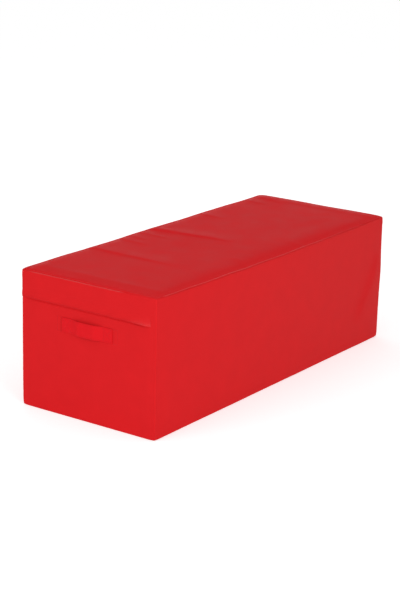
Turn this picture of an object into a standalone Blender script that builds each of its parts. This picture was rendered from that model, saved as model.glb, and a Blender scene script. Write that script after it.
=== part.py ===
"""Foam spotting block in a sewn cover that opens with a zip, with a strap handle on each end.

Metres, +Z up. The origin is the middle of the underside, X runs along the block and Y across it.
The front is the long side at -Y, and the left end is the one at -X.
The cover opens as a lid: the zip runs along the left end, the rear and the right end, and the
lid folds about the seam along the top of the front.
A depth below is a distance inward from the block's outer faces.
"""

import math

import bmesh
import bpy
from mathutils import Matrix, Vector

# Overall size of the made-up block
BLOCK_LENGTH = 1.800
BLOCK_DEPTH = 0.700
BLOCK_HEIGHT = 0.600

# Cover of coated fabric
COVER_THICKNESS = 0.0010
LID_DROP = 0.120
FLAP_WIDTH = 0.040
FLAP_OVERLAP = 0.007
HEM_WIDTH = 0.020
ZIP_CORNER_MARGIN = 0.025
BARE_ZIP_LENGTH = 0.085

# Foam layers, from the floor up
BASE_LAYER_THICKNESS = 0.050
TOP_LAYER_THICKNESS = 0.050

# Zip
TAPE_THICKNESS = 0.0006
COIL_THICKNESS = 0.0018
COIL_WIDTH = 0.0030
STOP_LENGTH = 0.0030
SLIDER_LENGTH = 0.018
SLIDER_HEAD_WIDTH = 0.0094
SLIDER_WIDTH = 0.013
SLIDER_TAIL_WIDTH = 0.009
SLIDER_SHOULDER = 0.0032
SLIDER_WAIST = 0.0099
PLATE_THICKNESS = 0.0010
POST_WIDTH = 0.0020
POST_LENGTH = 0.0035
POST_SETBACK = 0.0015
EAR_LENGTH = 0.0030
EAR_THICKNESS = 0.0012
PIN_RADIUS = 0.0006
KNUCKLE_RADIUS = 0.00125
PULL_LENGTH = 0.034
PULL_WIDTH = 0.0080
PULL_TIP_WIDTH = 0.0056
PULL_THICKNESS = 0.0012
PULL_KNUCKLE_WIDTH = 0.0040

# Strap handles; the drop is from the flap's lower edge to the middle of the strap
HANDLE_DROP = 0.084
HANDLE_LENGTH = 0.300
STRAP_WIDTH = 0.063
STRAP_THICKNESS = 0.0030
SEWN_LENGTH = 0.055
GRIP_LENGTH = 0.124
STRAP_STANDOFF = 0.020
PATCH_LENGTH = 0.095
PATCH_REACH = 0.034
PATCH_HEIGHT = 0.071
PATCH_THICKNESS = 0.0010
STRAP_STEPS = 10
THREAD_SIZE = 0.0009
STITCH_INSET = 0.006

# Clearances
MESH_GAP = 0.0003
RUNNING_GAP = 0.0002
PULL_CLEARANCE = 0.0005
POST_CLEARANCE = 0.0005
MERGE_DISTANCE = 1e-6

# Drawing of round pieces and of the axes' marks
ROD_SIDES = 16
KNUCKLE_SIDES = 24
SHARP_ANGLE = math.radians(40)
AXIS_MARK_SIZE = 0.03

# Half sizes and levels that follow from the block
HALF_LENGTH = BLOCK_LENGTH / 2
HALF_DEPTH = BLOCK_DEPTH / 2
FLAP_EDGE = BLOCK_HEIGHT - LID_DROP
BAND_BOTTOM = FLAP_EDGE + FLAP_WIDTH
LOWER_TOP = FLAP_EDGE + FLAP_OVERLAP
ZIP_LEVEL = (BAND_BOTTOM + LOWER_TOP) / 2
HEM_BOTTOM = LOWER_TOP - HEM_WIDTH
HANDLE_HEIGHT = FLAP_EDGE - HANDLE_DROP
LID_UNDERSIDE = BLOCK_HEIGHT - COVER_THICKNESS
BASE_TOP = COVER_THICKNESS

# Depths of the layers at the zip, from the flap inwards
LOWER_DEPTH = COVER_THICKNESS + MESH_GAP
PULL_DEPTH = COVER_THICKNESS + PULL_CLEARANCE
PLATE_DEPTH = PULL_DEPTH + 2 * KNUCKLE_RADIUS + RUNNING_GAP
COIL_DEPTH = PLATE_DEPTH + PLATE_THICKNESS + RUNNING_GAP
TAPE_DEPTH = COIL_DEPTH + (COIL_THICKNESS - TAPE_THICKNESS) / 2
HEM_DEPTH = TAPE_DEPTH - MESH_GAP
BACK_PLATE_DEPTH = COIL_DEPTH + COIL_THICKNESS + RUNNING_GAP
POCKET_DEPTH = BACK_PLATE_DEPTH + PLATE_THICKNESS + MESH_GAP
LOWER_FOAM_DEPTH = LOWER_DEPTH + COVER_THICKNESS + MESH_GAP
FRONT_FOAM_DEPTH = COVER_THICKNESS + MESH_GAP

# Levels and places along the zip
COIL_OFFSET = POST_WIDTH / 2 + POST_CLEARANCE
TAPE_OFFSET = COIL_OFFSET + COIL_WIDTH + MESH_GAP
PANEL_FRONT = -HALF_DEPTH + COVER_THICKNESS + MESH_GAP
PANEL_REAR = HALF_DEPTH - COVER_THICKNESS - MESH_GAP
ZIP_FRONT = -HALF_DEPTH + ZIP_CORNER_MARGIN
SLIDER_FRONT = ZIP_FRONT + STOP_LENGTH + POST_CLEARANCE
SLIDER_REAR = SLIDER_FRONT + SLIDER_LENGTH
POST_FRONT = SLIDER_FRONT + POST_SETBACK
RIGHT_COIL_FRONT = POST_FRONT + POST_LENGTH + POST_CLEARANCE
LEFT_COIL_FRONT = ZIP_FRONT + STOP_LENGTH + MESH_GAP
RIGHT_FLAP_FRONT = ZIP_FRONT + BARE_ZIP_LENGTH
PULL_AXIS_Y = SLIDER_FRONT + SLIDER_LENGTH / 2
PULL_AXIS_DEPTH = PULL_DEPTH + KNUCKLE_RADIUS

# Colours
COVER_RED = (0.62, 0.012, 0.018, 1.0)
THREAD_RED = (0.50, 0.010, 0.015, 1.0)
FOAM_GREY = (0.62, 0.62, 0.60, 1.0)
CORE_CREAM = (0.78, 0.73, 0.58, 1.0)
ZIP_BLACK = (0.02, 0.02, 0.022, 1.0)
SLIDER_METAL = (0.55, 0.55, 0.56, 1.0)

# Which end of the block, as the sign of its X
LEFT = -1
RIGHT = 1


def clear_scene():
    """Remove every object of the opened scene."""
    for item in list(bpy.data.objects):
        bpy.data.objects.remove(item, do_unlink=True)


def make_collection(name, hidden=False):
    """A collection in the scene; a hidden one holds shapes that only join or cut others."""
    collection = bpy.data.collections.new(name)
    bpy.context.scene.collection.children.link(collection)
    collection.hide_render = hidden
    return collection


def make_material(name, colour, roughness, metallic=0.0):
    """A Principled material."""
    material = bpy.data.materials.new(name)
    material.use_nodes = True
    shader = material.node_tree.nodes["Principled BSDF"]
    shader.inputs["Base Color"].default_value = colour
    shader.inputs["Roughness"].default_value = roughness
    shader.inputs["Metallic"].default_value = metallic
    return material


class Workshop:
    """Holds the collections and makes the pieces in them."""

    def __init__(self):
        self.parts = make_collection("spotting_block")
        self.helpers = make_collection("cutters", hidden=True)

    def box(self, name, low, high, material=None):
        """A box between two corners, its origin in its middle; a helper where it has no material."""
        low = Vector(low)
        high = Vector(high)
        mesh = bpy.data.meshes.new(name)
        shape = bmesh.new()
        bmesh.ops.create_cube(shape, size=1.0)
        bmesh.ops.scale(shape, vec=high - low, verts=shape.verts)
        shape.to_mesh(mesh)
        shape.free()
        item = bpy.data.objects.new(name, mesh)
        item.location = (low + high) / 2
        return self.place(item, material)

    def rod(self, name, centre, radius, length, axis, material=None, sides=ROD_SIDES):
        """A round rod of this length along an axis, about its middle."""
        mesh = bpy.data.meshes.new(name)
        shape = bmesh.new()
        bmesh.ops.create_cone(
            shape, cap_ends=True, segments=sides, radius1=radius, radius2=radius, depth=length
        )
        shape.to_mesh(mesh)
        shape.free()
        mesh.shade_smooth()
        mesh.set_sharp_from_angle(angle=SHARP_ANGLE)
        item = bpy.data.objects.new(name, mesh)
        item.location = centre
        item.rotation_mode = "QUATERNION"
        item.rotation_quaternion = Vector((0, 0, 1)).rotation_difference(Vector(axis))
        return self.place(item, material)

    def outline(self, name, points, thickness, placing, material=None, holes=()):
        """A flat outline given thickness, laid out by a matrix whose third axis is the thickness."""
        curve = bpy.data.curves.new(name, "CURVE")
        curve.dimensions = "2D"
        curve.fill_mode = "BOTH"
        curve.extrude = thickness / 2
        for loop in (points, *holes):
            spline = curve.splines.new("POLY")
            spline.points.add(len(loop) - 1)
            for point, (u, v) in zip(spline.points, loop):
                point.co = (u, v, 0.0, 1.0)
            spline.use_cyclic_u = True
        drawn = bpy.data.objects.new(name + "_outline", curve)
        self.helpers.objects.link(drawn)
        graph = bpy.context.evaluated_depsgraph_get()
        mesh = bpy.data.meshes.new_from_object(drawn.evaluated_get(graph))
        bpy.data.objects.remove(drawn, do_unlink=True)
        shape = bmesh.new()
        shape.from_mesh(mesh)
        bmesh.ops.remove_doubles(shape, verts=shape.verts, dist=MERGE_DISTANCE)
        bmesh.ops.recalc_face_normals(shape, faces=shape.faces)
        shape.to_mesh(mesh)
        shape.free()
        mesh.name = name
        item = bpy.data.objects.new(name, mesh)
        item.matrix_world = placing
        return self.place(item, material)

    def place(self, item, material):
        """Link a piece with its material, or a helper shape without one."""
        if material is None:
            self.helpers.objects.link(item)
            item.hide_render = True
            item.display_type = "WIRE"
        else:
            self.parts.objects.link(item)
            item.data.materials.clear()
            item.data.materials.append(material)
        return item

    def combine(self, item, other, operation):
        """Join a helper to a piece, or cut it away."""
        modifier = item.modifiers.new(other.name, "BOOLEAN")
        modifier.operation = operation
        modifier.solver = "EXACT"
        modifier.object = other
        return item

    def pivot(self, name, place, parent=None):
        """An empty on a joint's axis."""
        empty = bpy.data.objects.new(name, None)
        empty.empty_display_size = AXIS_MARK_SIZE
        empty.location = place
        self.parts.objects.link(empty)
        if parent is not None:
            hang(empty, parent)
        return empty


def hang(item, parent):
    """Parent an object without moving it."""
    bpy.context.view_layer.update()
    item.parent = parent
    item.matrix_parent_inverse = parent.matrix_world.inverted()


def plane_matrix(origin, first, second):
    """Placing matrix for an outline whose two directions are given."""
    first = Vector(first)
    second = Vector(second)
    normal = first.cross(second)
    matrix = Matrix((first, second, normal)).transposed().to_4x4()
    matrix.translation = Vector(origin)
    return matrix


def end_box(side, near, far, y_low, y_high, z_low, z_high):
    """Corners of a box on an end face, between two depths measured in from that face."""
    outer = side * (HALF_LENGTH - near)
    inner = side * (HALF_LENGTH - far)
    return (min(outer, inner), y_low, z_low), (max(outer, inner), y_high, z_high)


def rear_box(near, far, x_reach, z_low, z_high):
    """Corners of a box along the rear face, between two depths, reaching x_reach each way."""
    return (-x_reach, HALF_DEPTH - far, z_low), (x_reach, HALF_DEPTH - near, z_high)


def side_name(side):
    return "left" if side == LEFT else "right"


def build_base_and_front(shop, cover):
    """Panel on the floor, and the front panel that runs the whole height."""
    shop.box(
        "base_panel",
        (-HALF_LENGTH + LOWER_DEPTH, -HALF_DEPTH, 0.0),
        (HALF_LENGTH - LOWER_DEPTH, HALF_DEPTH - LOWER_DEPTH, BASE_TOP),
        cover,
    )
    shop.box(
        "front_panel",
        (-HALF_LENGTH, -HALF_DEPTH, BASE_TOP + MESH_GAP),
        (HALF_LENGTH, -HALF_DEPTH + COVER_THICKNESS, LID_UNDERSIDE - MESH_GAP),
        cover,
    )


def build_end_lower_panel(shop, side, cover):
    """Lower panel of an end: its turned hem carries the zip, its ear closes the front corner."""
    name = side_name(side) + "_lower_panel"
    inner = LOWER_DEPTH + COVER_THICKNESS
    rear = HALF_DEPTH - inner - MESH_GAP
    panel = shop.box(
        name,
        *end_box(side, LOWER_DEPTH, inner, PANEL_FRONT, rear, BASE_TOP + MESH_GAP, LOWER_TOP),
        cover,
    )
    hem = shop.box(
        name + "_hem",
        *end_box(side, LOWER_DEPTH, HEM_DEPTH, ZIP_FRONT, HALF_DEPTH - HEM_DEPTH, HEM_BOTTOM, LOWER_TOP),
    )
    ear = shop.box(
        name + "_ear",
        *end_box(
            side, 0.0, inner, PANEL_FRONT, ZIP_FRONT - MESH_GAP, HEM_BOTTOM, BAND_BOTTOM - MESH_GAP
        ),
    )
    shop.combine(panel, hem, "UNION")
    shop.combine(panel, ear, "UNION")


def build_rear_lower_panel(shop, cover):
    """Lower panel of the rear, lapping the ends' edges, with the same turned hem."""
    inner = LOWER_DEPTH + COVER_THICKNESS
    panel = shop.box(
        "rear_lower_panel",
        *rear_box(LOWER_DEPTH, inner, HALF_LENGTH - LOWER_DEPTH, BASE_TOP + MESH_GAP, LOWER_TOP),
        cover,
    )
    reach = HALF_LENGTH - HEM_DEPTH - MESH_GAP
    hem = shop.box(
        "rear_lower_panel_hem", *rear_box(LOWER_DEPTH, HEM_DEPTH, reach, HEM_BOTTOM, LOWER_TOP)
    )
    shop.combine(panel, hem, "UNION")


def build_foam(shop, foam, core):
    """Four glued foam layers. The upper two are cut back from the lid's sides to clear the zip."""
    levels = {
        "foam_base_layer": (BASE_TOP + MESH_GAP, BASE_LAYER_THICKNESS, LOWER_FOAM_DEPTH, foam),
        "foam_lower_core": (
            BASE_LAYER_THICKNESS + MESH_GAP, HEM_BOTTOM - MESH_GAP, LOWER_FOAM_DEPTH, core,
        ),
        "foam_upper_core": (
            HEM_BOTTOM, LID_UNDERSIDE - TOP_LAYER_THICKNESS - MESH_GAP, POCKET_DEPTH, core,
        ),
        "foam_top_layer": (
            LID_UNDERSIDE - TOP_LAYER_THICKNESS, LID_UNDERSIDE - MESH_GAP, POCKET_DEPTH, foam,
        ),
    }
    for name, (bottom, top, depth, material) in levels.items():
        shop.box(
            name,
            (-HALF_LENGTH + depth, -HALF_DEPTH + FRONT_FOAM_DEPTH, bottom),
            (HALF_LENGTH - depth, HALF_DEPTH - depth, top),
            material,
        )


def run_outline(depth, thickness, left_front, right_front):
    """Plan of a strip that runs up the left end, along the rear and back down the right end."""
    outer_x = HALF_LENGTH - depth
    inner_x = outer_x - thickness
    outer_y = HALF_DEPTH - depth
    inner_y = outer_y - thickness
    return [
        (-outer_x, left_front),
        (-inner_x, left_front),
        (-inner_x, inner_y),
        (inner_x, inner_y),
        (inner_x, right_front),
        (outer_x, right_front),
        (outer_x, outer_y),
        (-outer_x, outer_y),
    ]


def build_zip_runs(shop, tape, coil):
    """Woven tapes and their coils, each one unbroken strip round the two rear corners."""
    pieces = []
    runs = {
        "zip_tape_lower": (TAPE_DEPTH, TAPE_THICKNESS, HEM_BOTTOM, ZIP_LEVEL - TAPE_OFFSET, tape),
        "zip_tape_upper": (
            TAPE_DEPTH, TAPE_THICKNESS, ZIP_LEVEL + TAPE_OFFSET, BAND_BOTTOM + HEM_WIDTH, tape,
        ),
        "zip_coil_lower": (
            COIL_DEPTH, COIL_THICKNESS, ZIP_LEVEL - COIL_OFFSET - COIL_WIDTH, ZIP_LEVEL - COIL_OFFSET, coil,
        ),
        "zip_coil_upper": (
            COIL_DEPTH, COIL_THICKNESS, ZIP_LEVEL + COIL_OFFSET, ZIP_LEVEL + COIL_OFFSET + COIL_WIDTH, coil,
        ),
    }
    for name, (depth, thickness, bottom, top, material) in runs.items():
        is_coil = "coil" in name
        left_front = LEFT_COIL_FRONT if is_coil else ZIP_FRONT
        right_front = RIGHT_COIL_FRONT if is_coil else ZIP_FRONT
        points = run_outline(depth, thickness, left_front, right_front)
        placing = plane_matrix((0, 0, (bottom + top) / 2), (1, 0, 0), (0, 1, 0))
        pieces.append(shop.outline(name, points, top - bottom, placing, material))
    return [piece for piece in pieces if "upper" in piece.name]


def build_zip_stops(shop, metal):
    """A clip on the lower tape's edge at each end of the zip."""
    for side, name in ((LEFT, "zip_start_stop"), (RIGHT, "zip_end_stop")):
        shop.box(
            name,
            *end_box(
                side,
                COIL_DEPTH,
                COIL_DEPTH + COIL_THICKNESS,
                ZIP_FRONT,
                ZIP_FRONT + STOP_LENGTH,
                ZIP_LEVEL - COIL_OFFSET - COIL_WIDTH,
                ZIP_LEVEL - COIL_OFFSET,
            ),
            metal,
        )


def slider_outline():
    """One edge of the slider's plates from head to tail, seen from outside, and the same edge mirrored."""
    edge = [
        (SLIDER_FRONT, SLIDER_HEAD_WIDTH / 2),
        (SLIDER_FRONT + SLIDER_SHOULDER, SLIDER_WIDTH / 2),
        (SLIDER_FRONT + SLIDER_WAIST, SLIDER_TAIL_WIDTH / 2),
        (SLIDER_REAR, SLIDER_TAIL_WIDTH / 2),
    ]
    return [(along, -half) for along, half in edge] + edge[::-1]


def build_slider(shop, metal):
    """Two plates joined by a post at the head, with two ears and a pin for the pull."""
    plates = []
    for name, depth in (("zip_slider", PLATE_DEPTH), ("zip_slider_back_plate", BACK_PLATE_DEPTH)):
        middle = HALF_LENGTH - depth - PLATE_THICKNESS / 2
        placing = plane_matrix((middle, 0, ZIP_LEVEL), (0, 1, 0), (0, 0, 1))
        material = metal if name == "zip_slider" else None
        plates.append(shop.outline(name, slider_outline(), PLATE_THICKNESS, placing, material))
    slider = plates[0]
    post = shop.box(
        "zip_slider_post",
        *end_box(
            RIGHT,
            PLATE_DEPTH + PLATE_THICKNESS / 2,
            BACK_PLATE_DEPTH + PLATE_THICKNESS / 2,
            POST_FRONT,
            POST_FRONT + POST_LENGTH,
            ZIP_LEVEL - POST_WIDTH / 2,
            ZIP_LEVEL + POST_WIDTH / 2,
        ),
    )
    helpers = [plates[1], post]
    ear_inner = PULL_KNUCKLE_WIDTH / 2 + RUNNING_GAP
    for label, low in (("low", -ear_inner - EAR_THICKNESS), ("high", ear_inner)):
        helpers.append(
            shop.box(
                "zip_slider_ear_" + label,
                *end_box(
                    RIGHT,
                    PULL_DEPTH + RUNNING_GAP,
                    PLATE_DEPTH + PLATE_THICKNESS / 2,
                    PULL_AXIS_Y - EAR_LENGTH / 2,
                    PULL_AXIS_Y + EAR_LENGTH / 2,
                    ZIP_LEVEL + low,
                    ZIP_LEVEL + low + EAR_THICKNESS,
                ),
            )
        )
    helpers.append(
        shop.rod(
            "zip_slider_pin",
            (HALF_LENGTH - PULL_AXIS_DEPTH, PULL_AXIS_Y, ZIP_LEVEL),
            PIN_RADIUS,
            2 * ear_inner + EAR_THICKNESS,
            (0, 0, 1),
        )
    )
    for helper in helpers:
        shop.combine(slider, helper, "UNION")
    return slider


def build_pull(shop, metal):
    """Pull tab: a knuckle round the slider's pin and a tapered plate lying along the zip."""
    axis_x = HALF_LENGTH - PULL_AXIS_DEPTH
    pull = shop.rod(
        "zip_pull_tab",
        (axis_x, PULL_AXIS_Y, ZIP_LEVEL),
        KNUCKLE_RADIUS,
        PULL_KNUCKLE_WIDTH,
        (0, 0, 1),
        metal,
        sides=KNUCKLE_SIDES,
    )
    half_root = PULL_KNUCKLE_WIDTH / 2
    half_wide = PULL_WIDTH / 2
    root = PULL_AXIS_Y + PIN_RADIUS + RUNNING_GAP
    neck = PULL_AXIS_Y + EAR_LENGTH / 2 + 3 * RUNNING_GAP
    tip = PULL_AXIS_Y + PULL_LENGTH
    edge = [
        (root, half_root),
        (neck, half_root),
        (neck + half_wide, half_wide),
        (tip - PULL_TIP_WIDTH / 2, half_wide),
        (tip, PULL_TIP_WIDTH / 2),
    ]
    points = [(along, -half) for along, half in edge] + edge[::-1]
    placing = plane_matrix((axis_x, 0, ZIP_LEVEL), (0, 1, 0), (0, 0, 1))
    plate = shop.outline("zip_pull_plate", points, PULL_THICKNESS, placing)
    hole = shop.rod(
        "zip_pull_hole",
        (axis_x, PULL_AXIS_Y, ZIP_LEVEL),
        PIN_RADIUS + RUNNING_GAP,
        3 * PULL_KNUCKLE_WIDTH,
        (0, 0, 1),
    )
    shop.combine(pull, plate, "UNION")
    shop.combine(pull, hole, "DIFFERENCE")
    return pull


def build_lid(shop, cover):
    """Top panel and the bands that hang from it along both ends and the rear."""
    top = LID_UNDERSIDE - MESH_GAP
    lid = [
        shop.box(
            "top_panel",
            (-HALF_LENGTH, -HALF_DEPTH, LID_UNDERSIDE),
            (HALF_LENGTH, HALF_DEPTH, BLOCK_HEIGHT),
            cover,
        )
    ]
    for side in (LEFT, RIGHT):
        name = side_name(side) + "_band"
        band = shop.box(
            name,
            *end_box(side, 0.0, COVER_THICKNESS, PANEL_FRONT, PANEL_REAR, BAND_BOTTOM, top),
            cover,
        )
        hem = shop.box(
            name + "_hem",
            *end_box(
                side, 0.0, HEM_DEPTH, ZIP_FRONT, HALF_DEPTH - HEM_DEPTH, BAND_BOTTOM,
                BAND_BOTTOM + HEM_WIDTH,
            ),
        )
        lid.append(shop.combine(band, hem, "UNION"))
    rear = shop.box(
        "rear_band", *rear_box(0.0, COVER_THICKNESS, HALF_LENGTH, BAND_BOTTOM, top), cover
    )
    reach = HALF_LENGTH - HEM_DEPTH - MESH_GAP
    hem = shop.box(
        "rear_band_hem", *rear_box(0.0, HEM_DEPTH, reach, BAND_BOTTOM, BAND_BOTTOM + HEM_WIDTH)
    )
    lid.append(shop.combine(rear, hem, "UNION"))
    return lid


def build_flaps(shop, lid_pivot, cover):
    """Flaps that cover the zip, each hanging from the lower edge of its band."""
    top = BAND_BOTTOM - MESH_GAP
    corners = {
        "left_zip_flap": end_box(
            LEFT, 0.0, COVER_THICKNESS, ZIP_FRONT, PANEL_REAR, FLAP_EDGE, top
        ),
        "right_zip_flap": end_box(
            RIGHT, 0.0, COVER_THICKNESS, RIGHT_FLAP_FRONT, PANEL_REAR, FLAP_EDGE, top
        ),
        "rear_zip_flap": rear_box(0.0, COVER_THICKNESS, HALF_LENGTH, FLAP_EDGE, top),
    }
    axes = {
        "left_zip_flap": (-HALF_LENGTH, 0.0, top),
        "right_zip_flap": (HALF_LENGTH, 0.0, top),
        "rear_zip_flap": (0.0, HALF_DEPTH, top),
    }
    for name, (low, high) in corners.items():
        flap = shop.box(name, low, high, cover)
        hang(flap, shop.pivot(name + "_axis", axes[name], lid_pivot))


def strap_standoff(along):
    """How far the strap's inner face stands off the patch, at a distance along from its middle."""
    flat_from = HANDLE_LENGTH / 2 - SEWN_LENGTH
    level_to = GRIP_LENGTH / 2
    share = min(max((flat_from - abs(along)) / (flat_from - level_to), 0.0), 1.0)
    return STRAP_STANDOFF * share * share * (3 - 2 * share)


def strap_outline(start, end, steps):
    """Section of a stretch of strap: inner face out along it, outer face back."""
    inner = []
    outer = []
    for step in range(steps + 1):
        along = start + (end - start) * step / steps
        standoff = strap_standoff(along)
        inner.append((standoff, along))
        outer.append((standoff + STRAP_THICKNESS, along))
    return inner + outer[::-1]


def box_stitch_holes(half_wide, half_high):
    """The four triangles left open between a rectangle of thread and the rows that cross in it."""
    half_thread = THREAD_SIZE / 2
    diagonal = math.hypot(half_wide, half_high)
    side_drop = half_thread * diagonal / half_wide
    top_drop = half_thread * diagonal / half_high
    side_tip = side_drop * half_wide / half_high
    side_edge = half_wide - half_thread
    side_reach = side_edge * half_high / half_wide - side_drop
    top_tip = top_drop * half_high / half_wide
    top_edge = half_high - half_thread
    top_reach = top_edge * half_wide / half_high - top_drop
    holes = []
    for sign in (-1, 1):
        holes.append(
            [(sign * side_tip, 0.0), (sign * side_edge, -side_reach), (sign * side_edge, side_reach)]
        )
        holes.append([(0.0, sign * top_tip), (-top_reach, sign * top_edge), (top_reach, sign * top_edge)])
    return holes


def build_box_stitch(shop, name, side, direction, thread):
    """Thread that sews one end of a strap down: a rectangle of rows with two rows crossing in it."""
    half_handle = HANDLE_LENGTH / 2
    far = half_handle - STITCH_INSET
    near = half_handle - SEWN_LENGTH + STITCH_INSET
    half_wide = (far - near) / 2
    half_high = STRAP_WIDTH / 2 - STITCH_INSET
    reach_wide = half_wide + THREAD_SIZE / 2
    reach_high = half_high + THREAD_SIZE / 2
    rim = [
        (-reach_wide, -reach_high),
        (reach_wide, -reach_high),
        (reach_wide, reach_high),
        (-reach_wide, reach_high),
    ]
    outer = side * (HALF_LENGTH + 2 * MESH_GAP + STRAP_THICKNESS + THREAD_SIZE / 2)
    centre = (outer, direction * (near + far) / 2, HANDLE_HEIGHT)
    placing = plane_matrix(centre, (0, 1, 0), (0, 0, 1))
    shop.outline(name, rim, THREAD_SIZE, placing, thread, box_stitch_holes(half_wide, half_high))


def build_handle(shop, side, strap, patch, thread):
    """Strap handle on an end: two sewn ends with their patches, and the grip that tilts."""
    name = side_name(side)
    face = side * (HALF_LENGTH + MESH_GAP)
    placing = plane_matrix((face, 0, HANDLE_HEIGHT), (side, 0, 0), (0, 1, 0))
    half_grip = GRIP_LENGTH / 2
    half_handle = HANDLE_LENGTH / 2
    for label, direction in (("front", -1), ("rear", 1)):
        start = direction * (half_grip + MESH_GAP)
        end = direction * half_handle
        points = strap_outline(start, end, STRAP_STEPS)
        shop.outline(name + "_strap_" + label + "_end", points, STRAP_WIDTH, placing, strap)
        build_box_stitch(shop, name + "_" + label + "_box_stitch", side, direction, thread)
        far = direction * (half_handle + PATCH_REACH)
        near = far - direction * PATCH_LENGTH
        shop.box(
            name + "_" + label + "_patch",
            *end_box(
                side,
                LOWER_DEPTH - MESH_GAP - PATCH_THICKNESS,
                LOWER_DEPTH - MESH_GAP,
                min(near, far),
                max(near, far),
                HANDLE_HEIGHT - PATCH_HEIGHT / 2,
                HANDLE_HEIGHT + PATCH_HEIGHT / 2,
            ),
            patch,
        )
    grip = shop.outline(
        name + "_strap_grip", strap_outline(-half_grip, half_grip, 1), STRAP_WIDTH, placing, strap
    )
    hang(grip, shop.pivot(name + "_grip_axis", (side * HALF_LENGTH, 0.0, HANDLE_HEIGHT)))


def main():
    clear_scene()
    shop = Workshop()
    cover = make_material("coated_fabric_red", COVER_RED, 0.42)
    strap = make_material("strap_coated_fabric", COVER_RED, 0.40)
    patch = make_material("patch_coated_fabric", COVER_RED, 0.45)
    thread = make_material("sewing_thread", THREAD_RED, 0.6)
    foam = make_material("firm_foam", FOAM_GREY, 0.9)
    core = make_material("core_foam", CORE_CREAM, 0.95)
    tape = make_material("zip_tape_polyester", ZIP_BLACK, 0.85)
    coil = make_material("zip_coil_nylon", ZIP_BLACK, 0.45)
    metal = make_material("zip_slider_nickel", SLIDER_METAL, 0.3, 1.0)

    build_base_and_front(shop, cover)
    build_rear_lower_panel(shop, cover)
    build_foam(shop, foam, core)
    upper_zip = build_zip_runs(shop, tape, coil)
    build_zip_stops(shop, metal)
    for side in (LEFT, RIGHT):
        build_end_lower_panel(shop, side, cover)
        build_handle(shop, side, strap, patch, thread)

    lid_pivot = shop.pivot("lid_axis", (0.0, -HALF_DEPTH, BLOCK_HEIGHT))
    for piece in build_lid(shop, cover) + upper_zip:
        hang(piece, lid_pivot)
    build_flaps(shop, lid_pivot, cover)

    slider_pivot = shop.pivot("slider_axis", (HALF_LENGTH - COIL_DEPTH, PULL_AXIS_Y, ZIP_LEVEL))
    hang(build_slider(shop, metal), slider_pivot)
    pull_place = (HALF_LENGTH - PULL_AXIS_DEPTH, PULL_AXIS_Y, ZIP_LEVEL)
    pull_pivot = shop.pivot("pull_axis", pull_place, slider_pivot)
    hang(build_pull(shop, metal), pull_pivot)


main()
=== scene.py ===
"""Looks of a foam spotting block in a zipped cover of coated fabric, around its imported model.

Metres, +Z up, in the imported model's own frame: X along the block, Y across it, the floor at Z 0.
The front is the long side at -Y and the left end is the one at -X.
Every panel of the cover is a patch of one rounded box, moved along the box's normals by one relief,
so that panels that are sewn together share their border exactly.
"""

import logging
import math
from abc import ABC, abstractmethod
from dataclasses import dataclass
from enum import Enum

import bpy
import numpy as np
from mathutils import Matrix, Vector


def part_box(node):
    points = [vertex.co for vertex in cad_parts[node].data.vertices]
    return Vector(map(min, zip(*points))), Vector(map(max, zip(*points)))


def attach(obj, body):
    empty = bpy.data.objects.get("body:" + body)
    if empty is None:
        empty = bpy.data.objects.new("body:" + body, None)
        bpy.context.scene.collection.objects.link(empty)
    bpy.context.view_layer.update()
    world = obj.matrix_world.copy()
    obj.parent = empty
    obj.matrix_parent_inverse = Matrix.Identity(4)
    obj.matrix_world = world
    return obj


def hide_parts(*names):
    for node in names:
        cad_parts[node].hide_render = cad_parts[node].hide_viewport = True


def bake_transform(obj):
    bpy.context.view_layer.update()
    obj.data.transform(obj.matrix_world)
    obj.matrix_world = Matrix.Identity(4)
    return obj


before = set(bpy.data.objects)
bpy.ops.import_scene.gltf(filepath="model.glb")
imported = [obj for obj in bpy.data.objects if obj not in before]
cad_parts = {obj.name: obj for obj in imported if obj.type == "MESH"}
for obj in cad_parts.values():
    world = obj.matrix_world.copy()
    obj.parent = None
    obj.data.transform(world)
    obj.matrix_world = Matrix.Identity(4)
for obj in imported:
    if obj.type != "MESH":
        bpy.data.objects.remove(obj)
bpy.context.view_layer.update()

LOG = logging.getLogger("spotting_block")
MM = 0.001
UP = np.array((0.0, 0.0, 1.0))
HAIR = 1e-6  # nearer than this is the same place

Grid = np.ndarray
Span = tuple[float, float]
Triple = tuple[float, float, float]
Output = bpy.types.NodeSocket
Tree = bpy.types.NodeTree
Material = bpy.types.Material
Piece = bpy.types.Object


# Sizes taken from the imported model

HALF_LENGTH, HALF_DEPTH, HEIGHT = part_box("top_panel")[1]
FLAP_EDGE, FLAP_TOP = (corner.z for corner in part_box("left_zip_flap"))
ZIP_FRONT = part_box("left_zip_flap")[0].y
RIGHT_FLAP_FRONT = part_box("right_zip_flap")[0].y
TAPE_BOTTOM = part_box("zip_tape_lower")[0].z
HEM_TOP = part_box("zip_tape_upper")[1].z
ZIP_LEVEL = (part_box("zip_coil_lower")[1].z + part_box("zip_coil_upper")[0].z) / 2
GRIP_LEVEL = sum(corner.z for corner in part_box("left_strap_grip")) / 2

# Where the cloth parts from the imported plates

FULLNESS = 1.5 * MM  # how far the stuffed cover stands out past the plates
LOWER_TOP = TAPE_BOTTOM + 20 * MM  # the lower panels' hems cover this much of the tape
STRAP_LEVEL = GRIP_LEVEL + 4 * MM  # the photographed strap sits this much higher

# How grids of points crowd together at a seam

FINEST_STEP = 0.5 * MM
STEP_GROWTH = 1.2
MOST_CROWDED = 0.45  # the most of a run that the crowd at one end takes up


class Choice(Enum):
    """A choice among named options."""

    @property
    def label(self) -> str:
        """The option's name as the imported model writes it."""
        return self.name.lower()


class End(Choice):
    """The two ends of the block, with the sign of their X."""

    LEFT = -1
    RIGHT = 1


class StrapEnd(Choice):
    """The two sewn ends of a strap, with the sign of their Y."""

    FRONT = -1
    REAR = 1


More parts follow.
